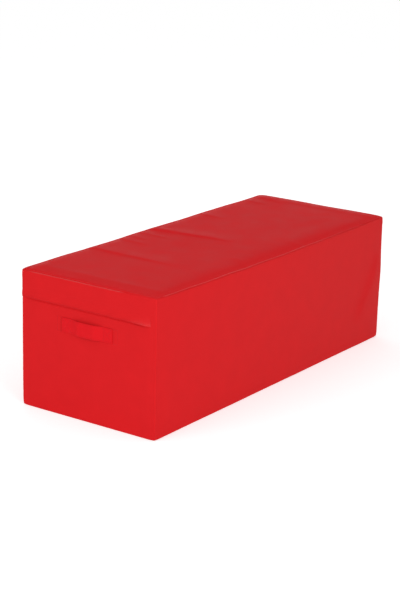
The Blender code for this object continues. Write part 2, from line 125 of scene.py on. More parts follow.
class ZipHalf(Choice):
    """The two halves of the zip, with the sign of the side of its middle that each lies on."""

    LOWER = -1
    UPPER = 1


class Face(Choice):
    """Faces of the block: the axis that they face, its sign, and the axes that run across and along them."""

    TOP = (2, 1, 0, 1)
    BASE = (2, -1, 0, 1)
    FRONT = (1, -1, 0, 2)
    REAR = (1, 1, 0, 2)
    LEFT = (0, -1, 1, 2)
    RIGHT = (0, 1, 1, 2)


# Small mathematics


def smooth_step(value: Grid) -> Grid:
    """Ease from 0 to 1: three times the square less twice the cube, held at both ends."""
    held = np.clip(value, 0.0, 1.0)
    return held * held * (3.0 - 2.0 * held)


def eased(value: Grid, span: Span) -> Grid:
    """Ease from 0 to 1 that starts at a value and takes a length, which is negative where it falls."""
    return smooth_step((value - span[0]) / span[1])


def bell(value: Grid, width: float) -> Grid:
    """Bell curve: e to the power of minus the square of value over width."""
    return np.exp(-np.square(value / width))


def graded(low: float, high: float, fine: tuple[bool, bool], pitch: float) -> Grid:
    """Spread values from low to high that crowd together at the ends that are sewn.

    The steps grow by a fixed factor each, from the finest up to the pitch.

    Args:
        low: First value.
        high: Last value.
        fine: Whether the values crowd at the low end, and at the high end.
        pitch: Widest step, in metres.

    Returns:
        The values in rising order.
    """
    count = int(math.ceil(math.log(pitch / FINEST_STEP) / math.log(STEP_GROWTH)))
    ladder = np.cumsum(FINEST_STEP * STEP_GROWTH ** np.arange(count))
    ladder = np.concatenate([[0.0], ladder[ladder < MOST_CROWDED * (high - low)]])
    start = low + ladder if fine[0] else np.array([low])
    stop = high - ladder[::-1] if fine[1] else np.array([high])
    inner = max(int(round((stop[0] - start[-1]) / pitch)), 1)
    middle = np.linspace(start[-1], stop[0], inner + 1)[1:-1]
    return np.concatenate([start, middle, stop])


def unit(vectors: Grid) -> Grid:
    """Vectors made one long."""
    return vectors / np.linalg.norm(vectors, axis=-1, keepdims=True)


def straight(a: float, b: float, c: float, d: float, count: int) -> tuple[Grid, Grid]:
    """Places on the straight line from (a, b) to (c, d)."""
    share = np.linspace(0, 1, count)
    return a + (c - a) * share, b + (d - b) * share


def linear_colour(code: str) -> tuple[float, float, float, float]:
    """Turn an sRGB hex colour into linear light, as the standard's two-part curve says.

    Args:
        code: Six hex digits after a number sign.

    Returns:
        Red, green, blue and an alpha of 1.
    """
    channels = [int(code[place : place + 2], 16) / 255 for place in (1, 3, 5)]
    linear = [c / 12.92 if c <= 0.04045 else ((c + 0.055) / 1.055) ** 2.4 for c in channels]
    return (*linear, 1.0)


# Meshes


def tube(rings: int, sides: int) -> tuple[Grid, Grid]:
    """Faces of a tube whose rings of points follow one another, with a hub at each end.

    Args:
        rings: How many rings it has.
        sides: How many points a ring has.

    Returns:
        Quads between the rings, and triangles to the hubs, whose points come after the rings'.
    """
    index = np.arange(rings * sides).reshape(rings, sides)
    after = np.roll(index, -1, axis=1)
    quads = np.stack([index[:-1], after[:-1], after[1:], index[1:]], axis=-1).reshape(-1, 4)
    first, last = np.full(sides, rings * sides), np.full(sides, rings * sides + 1)
    caps = [np.stack([after[0], index[0], first], axis=-1), np.stack([index[-1], after[-1], last], axis=-1)]
    return quads, np.concatenate(caps)


@dataclass
class Shell:
    """Points and faces of one or more closed surfaces."""

    points: Grid
    quads: Grid
    triangles: Grid
    uv: Grid
    inside: Grid
    polish: Grid | None = None

    @staticmethod
    def joined(shells: list["Shell"]) -> "Shell":
        """Put several shells into one.

        Args:
            shells: The shells in order.

        Returns:
            One shell with all their points and faces.
        """
        starts = np.cumsum([0] + [len(shell.points) for shell in shells[:-1]])
        return Shell(
            np.concatenate([shell.points for shell in shells]),
            np.concatenate([shell.quads + start for shell, start in zip(shells, starts)]),
            np.concatenate([shell.triangles + start for shell, start in zip(shells, starts)]),
            np.concatenate([shell.uv for shell in shells]),
            np.concatenate([shell.inside for shell in shells]),
            np.concatenate([np.zeros(len(s.points)) if s.polish is None else s.polish for s in shells]),
        )

    @staticmethod
    def repeated(copies: Grid, quads: Grid, triangles: Grid) -> "Shell":
        """Many copies of one small shell as one.

        Args:
            copies: The points of each copy.
            quads: One copy's quads.
            triangles: One copy's triangles.

        Returns:
            One shell with all the copies.
        """
        count, size = copies.shape[:2]
        shift = np.arange(count)[:, None, None] * size
        faces = (quads + shift).reshape(-1, 4), (triangles + shift).reshape(-1, 3)
        return Shell(copies.reshape(-1, 3), *faces, np.zeros((count * size, 2)), np.zeros(count * len(quads)))

    def welded(self) -> "Shell":
        """Merge points that coincide to a micrometre, as where two faces of a block meet.

        Returns:
            The shell without its doubled points.
        """
        rounded = np.round(self.points, 6)
        _, kept, places = np.unique(rounded, axis=0, return_index=True, return_inverse=True)
        places = places.reshape(-1)
        faces = places[self.quads], places[self.triangles]
        return Shell(self.points[kept], *faces, self.uv[kept], self.inside)

    def piece(self, name: str, material: Material, sharp: float = 50.0) -> Piece:
        """Make the shell an object at the origin.

        Args:
            name: The piece's name.
            material: Its finish.
            sharp: Edges between faces that turn by more than these degrees stay sharp.

        Returns:
            The object, linked to the scene.
        """
        mesh = bpy.data.meshes.new(name)
        mesh.from_pydata(self.points.tolist(), [], self.quads.tolist() + self.triangles.tolist())
        corners = np.concatenate([self.quads.ravel(), self.triangles.ravel()]).astype(int)
        layer = mesh.uv_layers.new(name="cloth")
        layer.data.foreach_set("uv", self.uv[corners].astype(np.float32).ravel())
        mark = mesh.attributes.new("inside", "FLOAT", "FACE")
        inside = np.concatenate([self.inside, np.zeros(len(self.triangles))])
        mark.data.foreach_set("value", inside.astype(np.float32))
        if self.polish is not None:
            polish = mesh.attributes.new("polish", "FLOAT", "POINT")
            polish.data.foreach_set("value", self.polish.astype(np.float32))
        mesh.shade_smooth()
        mesh.set_sharp_from_angle(angle=math.radians(sharp))
        mesh.materials.append(material)
        item = bpy.data.objects.new(name, mesh)
        bpy.context.scene.collection.objects.link(item)
        return item


@dataclass
class Surface:
    """An open surface on a grid: its points, outward normals, place in its own cloth and polish."""

    points: Grid
    normals: Grid
    uv: Grid
    polish: Grid

    def turned_in(self, radius: float, leg: float) -> "Surface":
        """Turn the cloth in at its last row and carry it back behind itself.

        The turn is a half circle in the plane of the edge's normal and its own direction: at an
        angle from 0 to 180 degrees a point lies the radius times one less the cosine inwards and the
        radius times the sine beyond the edge. The leg then follows the outer side at two radii.

        Args:
            radius: Outer radius of the turn.
            leg: How far the cloth runs back behind itself.

        Returns:
            The surface with the turn's rows and the leg's rows added.
        """
        edge, normal = self.points[:, -1], self.normals[:, -1]
        beyond = edge - self.points[:, -2]
        beyond = beyond - np.sum(beyond * normal, axis=-1, keepdims=True) * normal
        beyond = unit(beyond)[:, None]
        angle = np.linspace(0.0, math.pi, 10)[None, 1:, None]
        inward = radius * (1 - np.cos(angle))
        turn = edge[:, None] - normal[:, None] * inward + beyond * radius * np.sin(angle)
        turn_normals = normal[:, None] * np.cos(angle) + beyond * np.sin(angle)
        height = self.uv[0, :, 1]
        covered = np.flatnonzero(np.abs(height - height[-1]) < leg)[-2::-1]
        run_normals = -self.normals[:, covered]
        run = self.points[:, covered] + run_normals * 2 * radius
        direction = np.sign(height[-1] - height[-2])
        back = math.pi * radius + np.abs(height[covered] - height[-1])
        along = height[-1] + direction * np.concatenate([angle[0, :, 0] * radius, back])
        shape = len(edge), len(along)
        uv = np.stack([np.broadcast_to(part, shape) for part in (self.uv[:, -1:, 0], along)], axis=-1)
        return Surface(
            np.concatenate([self.points, turn, run], axis=1),
            np.concatenate([self.normals, turn_normals, run_normals], axis=1),
            np.concatenate([self.uv, uv], axis=1),
            np.concatenate([self.polish, np.zeros(shape)], axis=1),
        )

    def thickened(self, thickness: float) -> Shell:
        """Close the surface into a sheet, its inner side a thickness behind its outer side.

        Args:
            thickness: Thickness of the cloth.

        Returns:
            A closed shell, its faces outward.
        """
        rows, columns = self.points.shape[:2]
        outer = np.arange(rows * columns).reshape(rows, columns)
        inner = outer + rows * columns

        def quads(a: Grid, b: Grid, c: Grid, d: Grid) -> Grid:
            """Four grids of corners as a list of faces."""
            return np.stack([a, b, c, d], axis=-1).reshape(-1, 4)

        faces = [
            quads(outer[:-1, :-1], outer[1:, :-1], outer[1:, 1:], outer[:-1, 1:]),
            quads(inner[:-1, 1:], inner[1:, 1:], inner[1:, :-1], inner[:-1, :-1]),
            quads(outer[0, :-1], outer[0, 1:], inner[0, 1:], inner[0, :-1]),
            quads(outer[-1, 1:], outer[-1, :-1], inner[-1, :-1], inner[-1, 1:]),
            quads(outer[1:, 0], outer[:-1, 0], inner[:-1, 0], inner[1:, 0]),
            quads(outer[:-1, -1], outer[1:, -1], inner[1:, -1], inner[:-1, -1]),
        ]
        across = self.points[1:, :-1] - self.points[:-1, :-1]
        along = self.points[:-1, 1:] - self.points[:-1, :-1]
        facing = np.einsum("ijk,ijk->", np.cross(across, along), self.normals[:-1, :-1])
        joined = np.concatenate(faces)
        inside = np.zeros(len(joined))
        inside[len(faces[0]) : 2 * len(faces[0])] = 1.0
        points = np.concatenate([self.points, self.points - self.normals * thickness]).reshape(-1, 3)
        uv = np.concatenate([self.uv, self.uv]).reshape(-1, 2)
        joined = joined if facing > 0 else joined[:, ::-1]
        polish = np.concatenate([self.polish.ravel(), np.zeros(rows * columns)])
        return Shell(points, joined, np.zeros((0, 3), int), uv, inside, polish)


@dataclass(frozen=True)
class RoundedBox:
    """A box whose vertical edges are rounded in plan and whose other edges roll over a smaller height."""

    low: Triple
    high: Triple
    plan_radius: float
    roll_height: float

    def guide(self, face: Face, u: Grid, v: Grid) -> Grid:
        """Points of the sharp box's face at every pair of the two lists of values.

        Args:
            face: Which face.
            u: Values across the face.
            v: Values along the face.

        Returns:
            A grid of points.
        """
        axis, sign, across, along = face.value
        points = np.empty((len(u), len(v), 3))
        points[..., axis] = self.high[axis] if sign > 0 else self.low[axis]
        points[..., across], points[..., along] = np.meshgrid(u, v, indexing="ij")
        return points

    def skin(self, guide: Grid) -> tuple[Grid, Grid]:
        """Carry points of the sharp box onto the rounded one.

        Each point is held to a smaller box whose sides stand in by the radii. What is left of it,
        divided by the radii and made one long, gives the place on an ellipsoid about that held point.

        Args:
            guide: Points on the sharp box.

        Returns:
            The points on the rounded box and their outward normals.
        """
        radii = np.array((self.plan_radius, self.plan_radius, self.roll_height))
        held = np.clip(guide, np.array(self.low) + radii, np.array(self.high) - radii)
        arm = unit((guide - held) / radii)
        return held + arm * radii, unit(arm / radii)


# Finishes

MARK = {"output": "Fac", "attribute_type": "GEOMETRY"}  # how a number that the mesh carries is read
MIDDLE = {"From Min": 0.3, "From Max": 0.7}  # the range that a noise mostly keeps to
WHITE = (1.0, 1.0, 1.0, 1.0)


def add_node(
    tree: Tree,
    kind: str,
    inputs: dict[str | int, object] | None = None,
    output: str | int = 0,
    **settings: object,
) -> Output | None:
    """Add a node with its settings and links.

    Args:
        tree: The material's or world's node tree.
        kind: Blender's name for the node, less the ShaderNode that it starts with.
        inputs: What each input is set to, or the output of another node that it takes.
        output: Which of its outputs is wanted.
        settings: The node's own settings.

    Returns:
        That output, or None where the node has none.
    """
    node = tree.nodes.new(f"ShaderNode{kind}")
    for name, setting in settings.items():
        setattr(node, name, setting)
    for name, given in (inputs or {}).items():
        if isinstance(given, Output):
            tree.links.new(given, node.inputs[name])
        else:
            node.inputs[name].default_value = given
    return node.outputs[output] if len(node.outputs) else None


def wave_scale(period: float, bands: int = 20) -> float:
    """Scale for a period in metres: at one, a full turn's length holds 20 straight bands, or 10 slanting."""
    return math.tau / (bands * period)


def seen_by_camera(tree: Tree, gain: float) -> Output:
    """A gain for camera, glossy and transmission rays, and 0 for the others.

    Args:
        tree: The node tree.
        gain: The gain.

    Returns:
        The gain for the ray at hand.
    """
    camera = add_node(tree, "LightPath", output="Is Camera Ray")
    glossy, clear = (camera.node.outputs[name] for name in ("Is Glossy Ray", "Is Transmission Ray"))
    seen = add_node(tree, "Math", {0: camera, 1: glossy}, operation="MAXIMUM")
    seen = add_node(tree, "Math", {0: seen, 1: clear}, operation="MAXIMUM")
    return add_node(tree, "Math", {0: seen, 1: gain}, operation="MULTIPLY")


class Finish(ABC):
    """A finish, with its name and its look."""

    name: str

    @abstractmethod
    def lay_out(self, tree: Tree) -> Output:
        """Lay out the nodes that give the look, up to the shader."""

    def build(self) -> Material:
        """Make the material, with its shader joined to its output.

        Returns:
            The material.
        """
        material = bpy.data.materials.new(self.name)
        material.use_nodes = True
        tree = material.node_tree
        tree.nodes.clear()
        add_node(tree, "OutputMaterial", {"Surface": self.lay_out(tree)})
        return material


@dataclass(frozen=True)
class CoatedFabric(Finish):
    """Polyester cloth coated with soft PVC and calendered: satin, its threads showing faintly through."""

    name: str = "pvc_coated_polyester"
    # outside: its green and blue are raised a little, as painted sheen in place of a glossy reflection
    outside: str = "#DC2327"
    inside: str = "#B01A20"
    handled: str = "#DC2E30"  # painted sheen: a greyer red that stands in for the reflection of the white surroundings
    clouded: Span = (0.975, 1.02)
    cloudiness: float = 90 * MM
    roughness: float = 0.45
    uneven: float = 0.05
    rougher_inside: float = 0.2
    specular: float = 0.008  # kept low, because the colours carry the sheen as painted sheen
    seam_gloss: float = 0.0  # share of a clear gloss where a seam stretches the coating
    gloss_roughness: float = 0.3
    thread_spacing: float = 2.2 * MM  # real threads lie 1.1 mm apart, drawn twice as coarse to show
    thread_depth: float = 0.05 * MM
    grain: float = 5 * MM  # orange peel of the coating, drawn coarser than the real 2 mm
    grain_depth: float = 0.12 * MM

    def lay_out(self, tree: Tree) -> Output:
        """Colour and roughness clouded a little, with a painted sheen mixed in, under a bump of threads and
        orange peel.

        Args:
            tree: The material's node tree.

        Returns:
            The shader.
        """
        cloth = add_node(tree, "UVMap", output="UV", uv_map="cloth")
        place = add_node(tree, "TexCoord", output="Object")
        inside, wear = (
            add_node(tree, "Attribute", attribute_name=name, **MARK) for name in ("inside", "wear")
        )
        inputs = {"Vector": place, "Scale": 1 / self.cloudiness, "Detail": 3.0, "Roughness": 0.55}
        clouds = add_node(tree, "TexNoise", inputs)
        shade, spread = (
            add_node(tree, "MapRange", {"Value": clouds, **MIDDLE, "To Min": low, "To Max": high})
            for low, high in (self.clouded, (self.roughness - self.uneven, self.roughness + self.uneven))
        )
        inputs = {0: inside, 6: linear_colour(self.outside), 7: linear_colour(self.inside)}
        face = add_node(tree, "Mix", inputs, 2, data_type="RGBA")
        # Painted sheen: the greyer red is mixed in as far as the mesh's mark asks.
        sheened = add_node(tree, "Mix", {0: wear, 6: face, 7: linear_colour(self.handled)}, 2, data_type="RGBA")
        colour = add_node(tree, "HueSaturation", {"Color": sheened, "Value": shade})
        inputs = {0: inside, 1: self.rougher_inside, 2: spread}
        rough = add_node(tree, "Math", inputs, operation="MULTIPLY_ADD")

        inputs = {"Vector": cloth, "Scale": wave_scale(self.thread_spacing)}
        warp, weft = (add_node(tree, "TexWave", inputs, 1, bands_direction=way) for way in "XY")
        weave = add_node(tree, "Math", {0: warp, 1: weft}, operation="MULTIPLY")
        peel = add_node(tree, "TexNoise", {"Vector": place, "Scale": 1 / self.grain, "Detail": 1.0})
        peel = add_node(tree, "Bump", {"Height": peel, "Strength": 0.5, "Distance": self.grain_depth})
        inputs = {"Height": weave, "Strength": 0.35, "Distance": self.thread_depth, "Normal": peel}
        relief = add_node(tree, "Bump", inputs)

        inputs = {"Base Color": colour, "Roughness": rough, "Normal": relief}
        inputs |= {"IOR": 1.5, "Specular IOR Level": self.specular}
        if self.seam_gloss > 0:
            polish = add_node(tree, "Attribute", attribute_name="polish", **MARK)
            gloss = add_node(tree, "Math", {0: polish, 1: self.seam_gloss}, operation="MULTIPLY")
            inputs |= {"Coat Weight": gloss, "Coat Roughness": self.gloss_roughness}
        return add_node(tree, "BsdfPrincipled", inputs)


@dataclass(frozen=True)
class SewingThread(Finish):
    """Bonded polyester thread: round, twisted, with a dull sheen."""

    name: str = "bonded_polyester_thread"
    colour: str = "#C81A22"
    # painted shade in the twist's grooves
    groove_shade: str = "#A8141B"
    roughness: float = 0.5
    twist: float = 1.2 * MM
    twist_depth: float = 0.1 * MM

    def lay_out(self, tree: Tree) -> Output:
        """A slanting twist in bump, and in colour as painted shade in its grooves.

        Args:
            tree: The material's node tree.

        Returns:
            The shader.
        """
        place = add_node(tree, "TexCoord", output="Object")
        inputs = {"Vector": place, "Scale": wave_scale(self.twist, 10)}
        plies = add_node(tree, "TexWave", inputs, 1, bands_direction="DIAGONAL")
        inputs = {0: plies, 6: linear_colour(self.groove_shade), 7: linear_colour(self.colour)}
        colour = add_node(tree, "Mix", inputs, 2, data_type="RGBA")
        relief = add_node(tree, "Bump", {"Height": plies, "Strength": 0.6, "Distance": self.twist_depth})
        inputs = {"Base Color": colour, "Roughness": self.roughness, "Normal": relief}
        return add_node(tree, "BsdfPrincipled", inputs | {"Specular IOR Level": 0.3, "IOR": 1.5})


@dataclass(frozen=True)
class PolyurethaneFoam(Finish):
    """Open-celled foam as cut by a blade: dead matt, finely pitted, a little uneven in colour."""

    name: str
    colour: str
    # painted shade in the cells' pits
    pit_shade: str
    cell: float = 3.5 * MM  # real cells are near 1 mm, drawn coarser to show
    cell_depth: float = 0.6 * MM
    mottle: float = 60 * MM
    mottled: Span = (0.94, 1.03)

    def lay_out(self, tree: Tree) -> Output:
        """Pits from a cell pattern, with painted shade in their depths, and a soft mottle.

        Args:
            tree: The material's node tree.

        Returns:
            The shader.
        """
        place = add_node(tree, "TexCoord", output="Object")
        cells = add_node(tree, "TexVoronoi", {"Vector": place, "Scale": 1 / self.cell}, "Distance")
        inputs = {"Value": cells, "From Min": 0.15, "From Max": 0.75, "To Min": 0.0, "To Max": 0.6}
        pits = add_node(tree, "MapRange", inputs)
        inputs = {0: pits, 6: linear_colour(self.colour), 7: linear_colour(self.pit_shade)}
        pit_shaded = add_node(tree, "Mix", inputs, 2, data_type="RGBA")
        low, high = self.mottled
        mottle = add_node(tree, "TexNoise", {"Vector": place, "Scale": 1 / self.mottle, "Detail": 4.0})
        mottle = add_node(tree, "MapRange", {"Value": mottle, **MIDDLE, "To Min": low, "To Max": high})
        colour = add_node(tree, "HueSaturation", {"Color": pit_shaded, "Value": mottle})
        inputs = {"Height": cells, "Strength": 0.7, "Distance": self.cell_depth}
        relief = add_node(tree, "Bump", inputs, invert=True)
        inputs = {"Base Color": colour, "Roughness": 0.95, "Normal": relief}
        return add_node(tree, "BsdfPrincipled", inputs | {"Specular IOR Level": 0.2, "IOR": 1.45})


@dataclass(frozen=True)
class WovenTape(Finish):
    """Zip tape woven from dull polyester: close ribs along it, matt."""

    name: str = "woven_polyester_tape"
    colour: str = "#26262A"
    # painted shade in the valleys between the ribs
    valley: str = "#0E0E10"
    rib: float = 1.6 * MM  # real ribs are 0.5 mm apart
    rib_depth: float = 0.2 * MM

    def lay_out(self, tree: Tree) -> Output:
        """Slanting ribs in bump, and in colour as painted shade between them.

        Args:
            tree: The material's node tree.

        Returns:
            The shader.
        """
        cloth = add_node(tree, "UVMap", output="UV", uv_map="cloth")
        inputs = {"Vector": cloth, "Scale": wave_scale(self.rib, 10)}
        ribs = add_node(tree, "TexWave", inputs, 1, bands_direction="DIAGONAL")
        inputs = {0: ribs, 6: linear_colour(self.valley), 7: linear_colour(self.colour)}
        colour = add_node(tree, "Mix", inputs, 2, data_type="RGBA")
        relief = add_node(tree, "Bump", {"Height": ribs, "Strength": 0.6, "Distance": self.rib_depth})
        inputs = {"Base Color": colour, "Roughness": 0.85, "Normal": relief}
        inputs |= {"Specular IOR Level": 0.3, "IOR": 1.5, "Sheen Weight": 0.2}
        return add_node(tree, "BsdfPrincipled", inputs)


@dataclass(frozen=True)
class PlainFinish(Finish):
    """A moulded or cast finish with small unevenness: nylon monofilament, or nickelled zinc."""

    name: str
    colour: str
    roughness: float
    metallic: float
    smoother: float = 0.06
    rougher: float = 0.08
    unevenness: float = 4 * MM
    depth: float = 0.05 * MM

    def lay_out(self, tree: Tree) -> Output:
        """One colour, with roughness and bump that vary a little.

        Args:
            tree: The material's node tree.

        Returns:
            The shader.
        """
        place = add_node(tree, "TexCoord", output="Object")
        uneven = add_node(tree, "TexNoise", {"Vector": place, "Scale": 1 / self.unevenness, "Detail": 3.0})
        low, high = self.roughness - self.smoother, self.roughness + self.rougher
        spread = add_node(tree, "MapRange", {"Value": uneven, **MIDDLE, "To Min": low, "To Max": high})
        relief = add_node(tree, "Bump", {"Height": uneven, "Strength": 0.3, "Distance": self.depth})
        inputs = {"Base Color": linear_colour(self.colour), "Metallic": self.metallic}
        return add_node(tree, "BsdfPrincipled", inputs | {"Roughness": spread, "Normal": relief})


@dataclass(frozen=True)
class StudioPaper(Finish):
    """Matt white background paper. To the camera it glows a little, so it renders white and keeps shadows."""

    name: str = "white_background_paper"
    colour: str = "#F4F4F4"
    glow: float = 0.47

    def lay_out(self, tree: Tree) -> Output:
        """A matt surface and a glow that only camera, glossy and clear rays see.

        Args:
            tree: The material's node tree.

        Returns:
            The shader.
        """
        matt = add_node(tree, "BsdfDiffuse", {"Color": linear_colour(self.colour)})
        glow = add_node(tree, "Emission", {"Color": WHITE, "Strength": seen_by_camera(tree, self.glow)})
        return add_node(tree, "AddShader", {0: matt, 1: glow})


@dataclass(frozen=True)
class Finishes:
    """Every finish of the block, built once."""

    cover: Material
    glossy_seamed: Material
    strap: Material
    thread: Material
    firm_foam: Material
    core_foam: Material
    tape: Material
    coil: Material
    metal: Material

    @staticmethod
    def build() -> "Finishes":
        """Build all the finishes.

        Returns:
            The finishes.
        """
        return Finishes(
            cover=CoatedFabric().build(),
            # The same cloth, its coating drawn tight over the seams' lips, which gives them a soft shine.
            glossy_seamed=CoatedFabric(name="pvc_coated_polyester_glossy_seams", seam_gloss=0.85).build(),
            # The same cloth, folded double and sewn flat: a little brighter and smoother.
            strap=CoatedFabric(name="pvc_coated_strap_fabric", outside="#E11F26", roughness=0.42).build(),
            thread=SewingThread().build(),
            firm_foam=PolyurethaneFoam("firm_grey_foam", "#BDBDBA", "#85857F").build(),
            core_foam=PolyurethaneFoam("soft_cream_foam", "#E2D9B8", "#B3A576").build(),
            tape=WovenTape().build(),
            # Drawn through a die, so it is smooth, with one soft highlight along each turn.
            coil=PlainFinish("nylon_monofilament", "#1B1B1D", 0.38, 0.0).build(),
            # Cast in a mould and plated: a bright grey whose reflections are blurred.
            metal=PlainFinish("nickelled_zinc", "#B4B4B2", 0.3, 1.0).build(),
        )


# The shape of the filled cover


@dataclass(frozen=True)
class Fold:
    """One soft fold across a face: a ridge along a line, steeper on one side."""

    face: Face
    start: Span
    end: Span
    height: float
    steep: float = 18 * MM
    gentle: float = 60 * MM
    bow: float = 0.0
    fade_in: float = 0.08
    fade_out: float = 0.45

    def rise(self, points: Grid) -> Grid:
        """Height of the ridge at each point.

        It is a bell curve of the distance across the line, which bows aside by half a sine wave,
        times an ease in and an ease out along the line.

        Args:
            points: Points on the face.

        Returns:
            Heights in metres.
        """
        _, _, across_axis, along_axis = self.face.value
        run = np.array(self.end) - np.array(self.start)
        length = float(np.hypot(*run))
        du = points[..., across_axis] - self.start[0]
        dv = points[..., along_axis] - self.start[1]
        share = (du * run[0] + dv * run[1]) / length**2
        across = (du * run[1] - dv * run[0]) / length
        across = across - self.bow * np.sin(math.pi * np.clip(share, 0, 1))
        width = np.where(across > 0, self.steep, self.gentle)
        fade = smooth_step(share / self.fade_in + 0.5) * smooth_step((1 - share) / self.fade_out)
        return self.height * fade * np.exp(-np.square(across / width))


@dataclass(frozen=True)
class Wave:
    """A long shallow swell of the cover, from foam that gives a little."""

    height: float
    length: float
    heading: Triple
    phase: float

    def rise(self, points: Grid) -> Grid:
        """Height at each point: a sine of the distance along the heading."""
        heading = np.array(self.heading) / np.linalg.norm(self.heading)
        return self.height * np.sin(math.tau * (points @ heading) / self.length + self.phase)


@dataclass(frozen=True)
class SeamShine:
    """Where the lips beside the seams are polished. A pair says where an ease starts and how long it is.

    The top's lip shines along its front seam, less towards the far end, and the bands' lips along the
    middle of the left seam. Elsewhere the lips are a little polished.
    """

    reach: float = 25 * MM
    front_start: Span = (-0.86, 0.03)
    far_fade: Span = (0.0, 0.8)
    far_loss: float = 0.75
    front_facing: Span = (0.6, 0.2)
    front_least: float = 0.15
    left_start: Span = (-0.20, 0.04)
    left_stop: Span = (0.33, -0.05)
    left_facing: Span = (0.8, -0.2)
    left_least: float = 0.1
    unseamed: float = 0.05  # weight of the unpolished rest
    upper: Span = (FLAP_TOP, 0.05)
    lower_share: float = 0.04

    def at(self, points: Grid, normals: Grid) -> Grid:
        """How far a seam's lip is polished at each point.

        Each seam has a share of its own, a product of eases. The two are averaged, with bell curves of
        the distance from either seam as their weights.

        Args:
            points: Points on the rounded box.
            normals: Outward normals there.

        Returns:
            Shares of the full polish.
        """
        x, y, z = np.moveaxis(points, -1, 0)
        level = normals[..., 2]
        by_front, by_left = bell(y + HALF_DEPTH, self.reach), bell(x + HALF_LENGTH, self.reach)
        front = eased(x, self.front_start) * (1 - self.far_loss * eased(x, self.far_fade))
        front *= self.front_least + (1 - self.front_least) * eased(level, self.front_facing)
        left = eased(y, self.left_start) * eased(y, self.left_stop)
        left *= self.left_least + (1 - self.left_least) * eased(level, self.left_facing)
        seams = (by_front * front + by_left * left) / (by_front + by_left + self.unseamed)
        upper = eased(z, self.upper)
        return upper * seams + self.lower_share * (1 - upper)


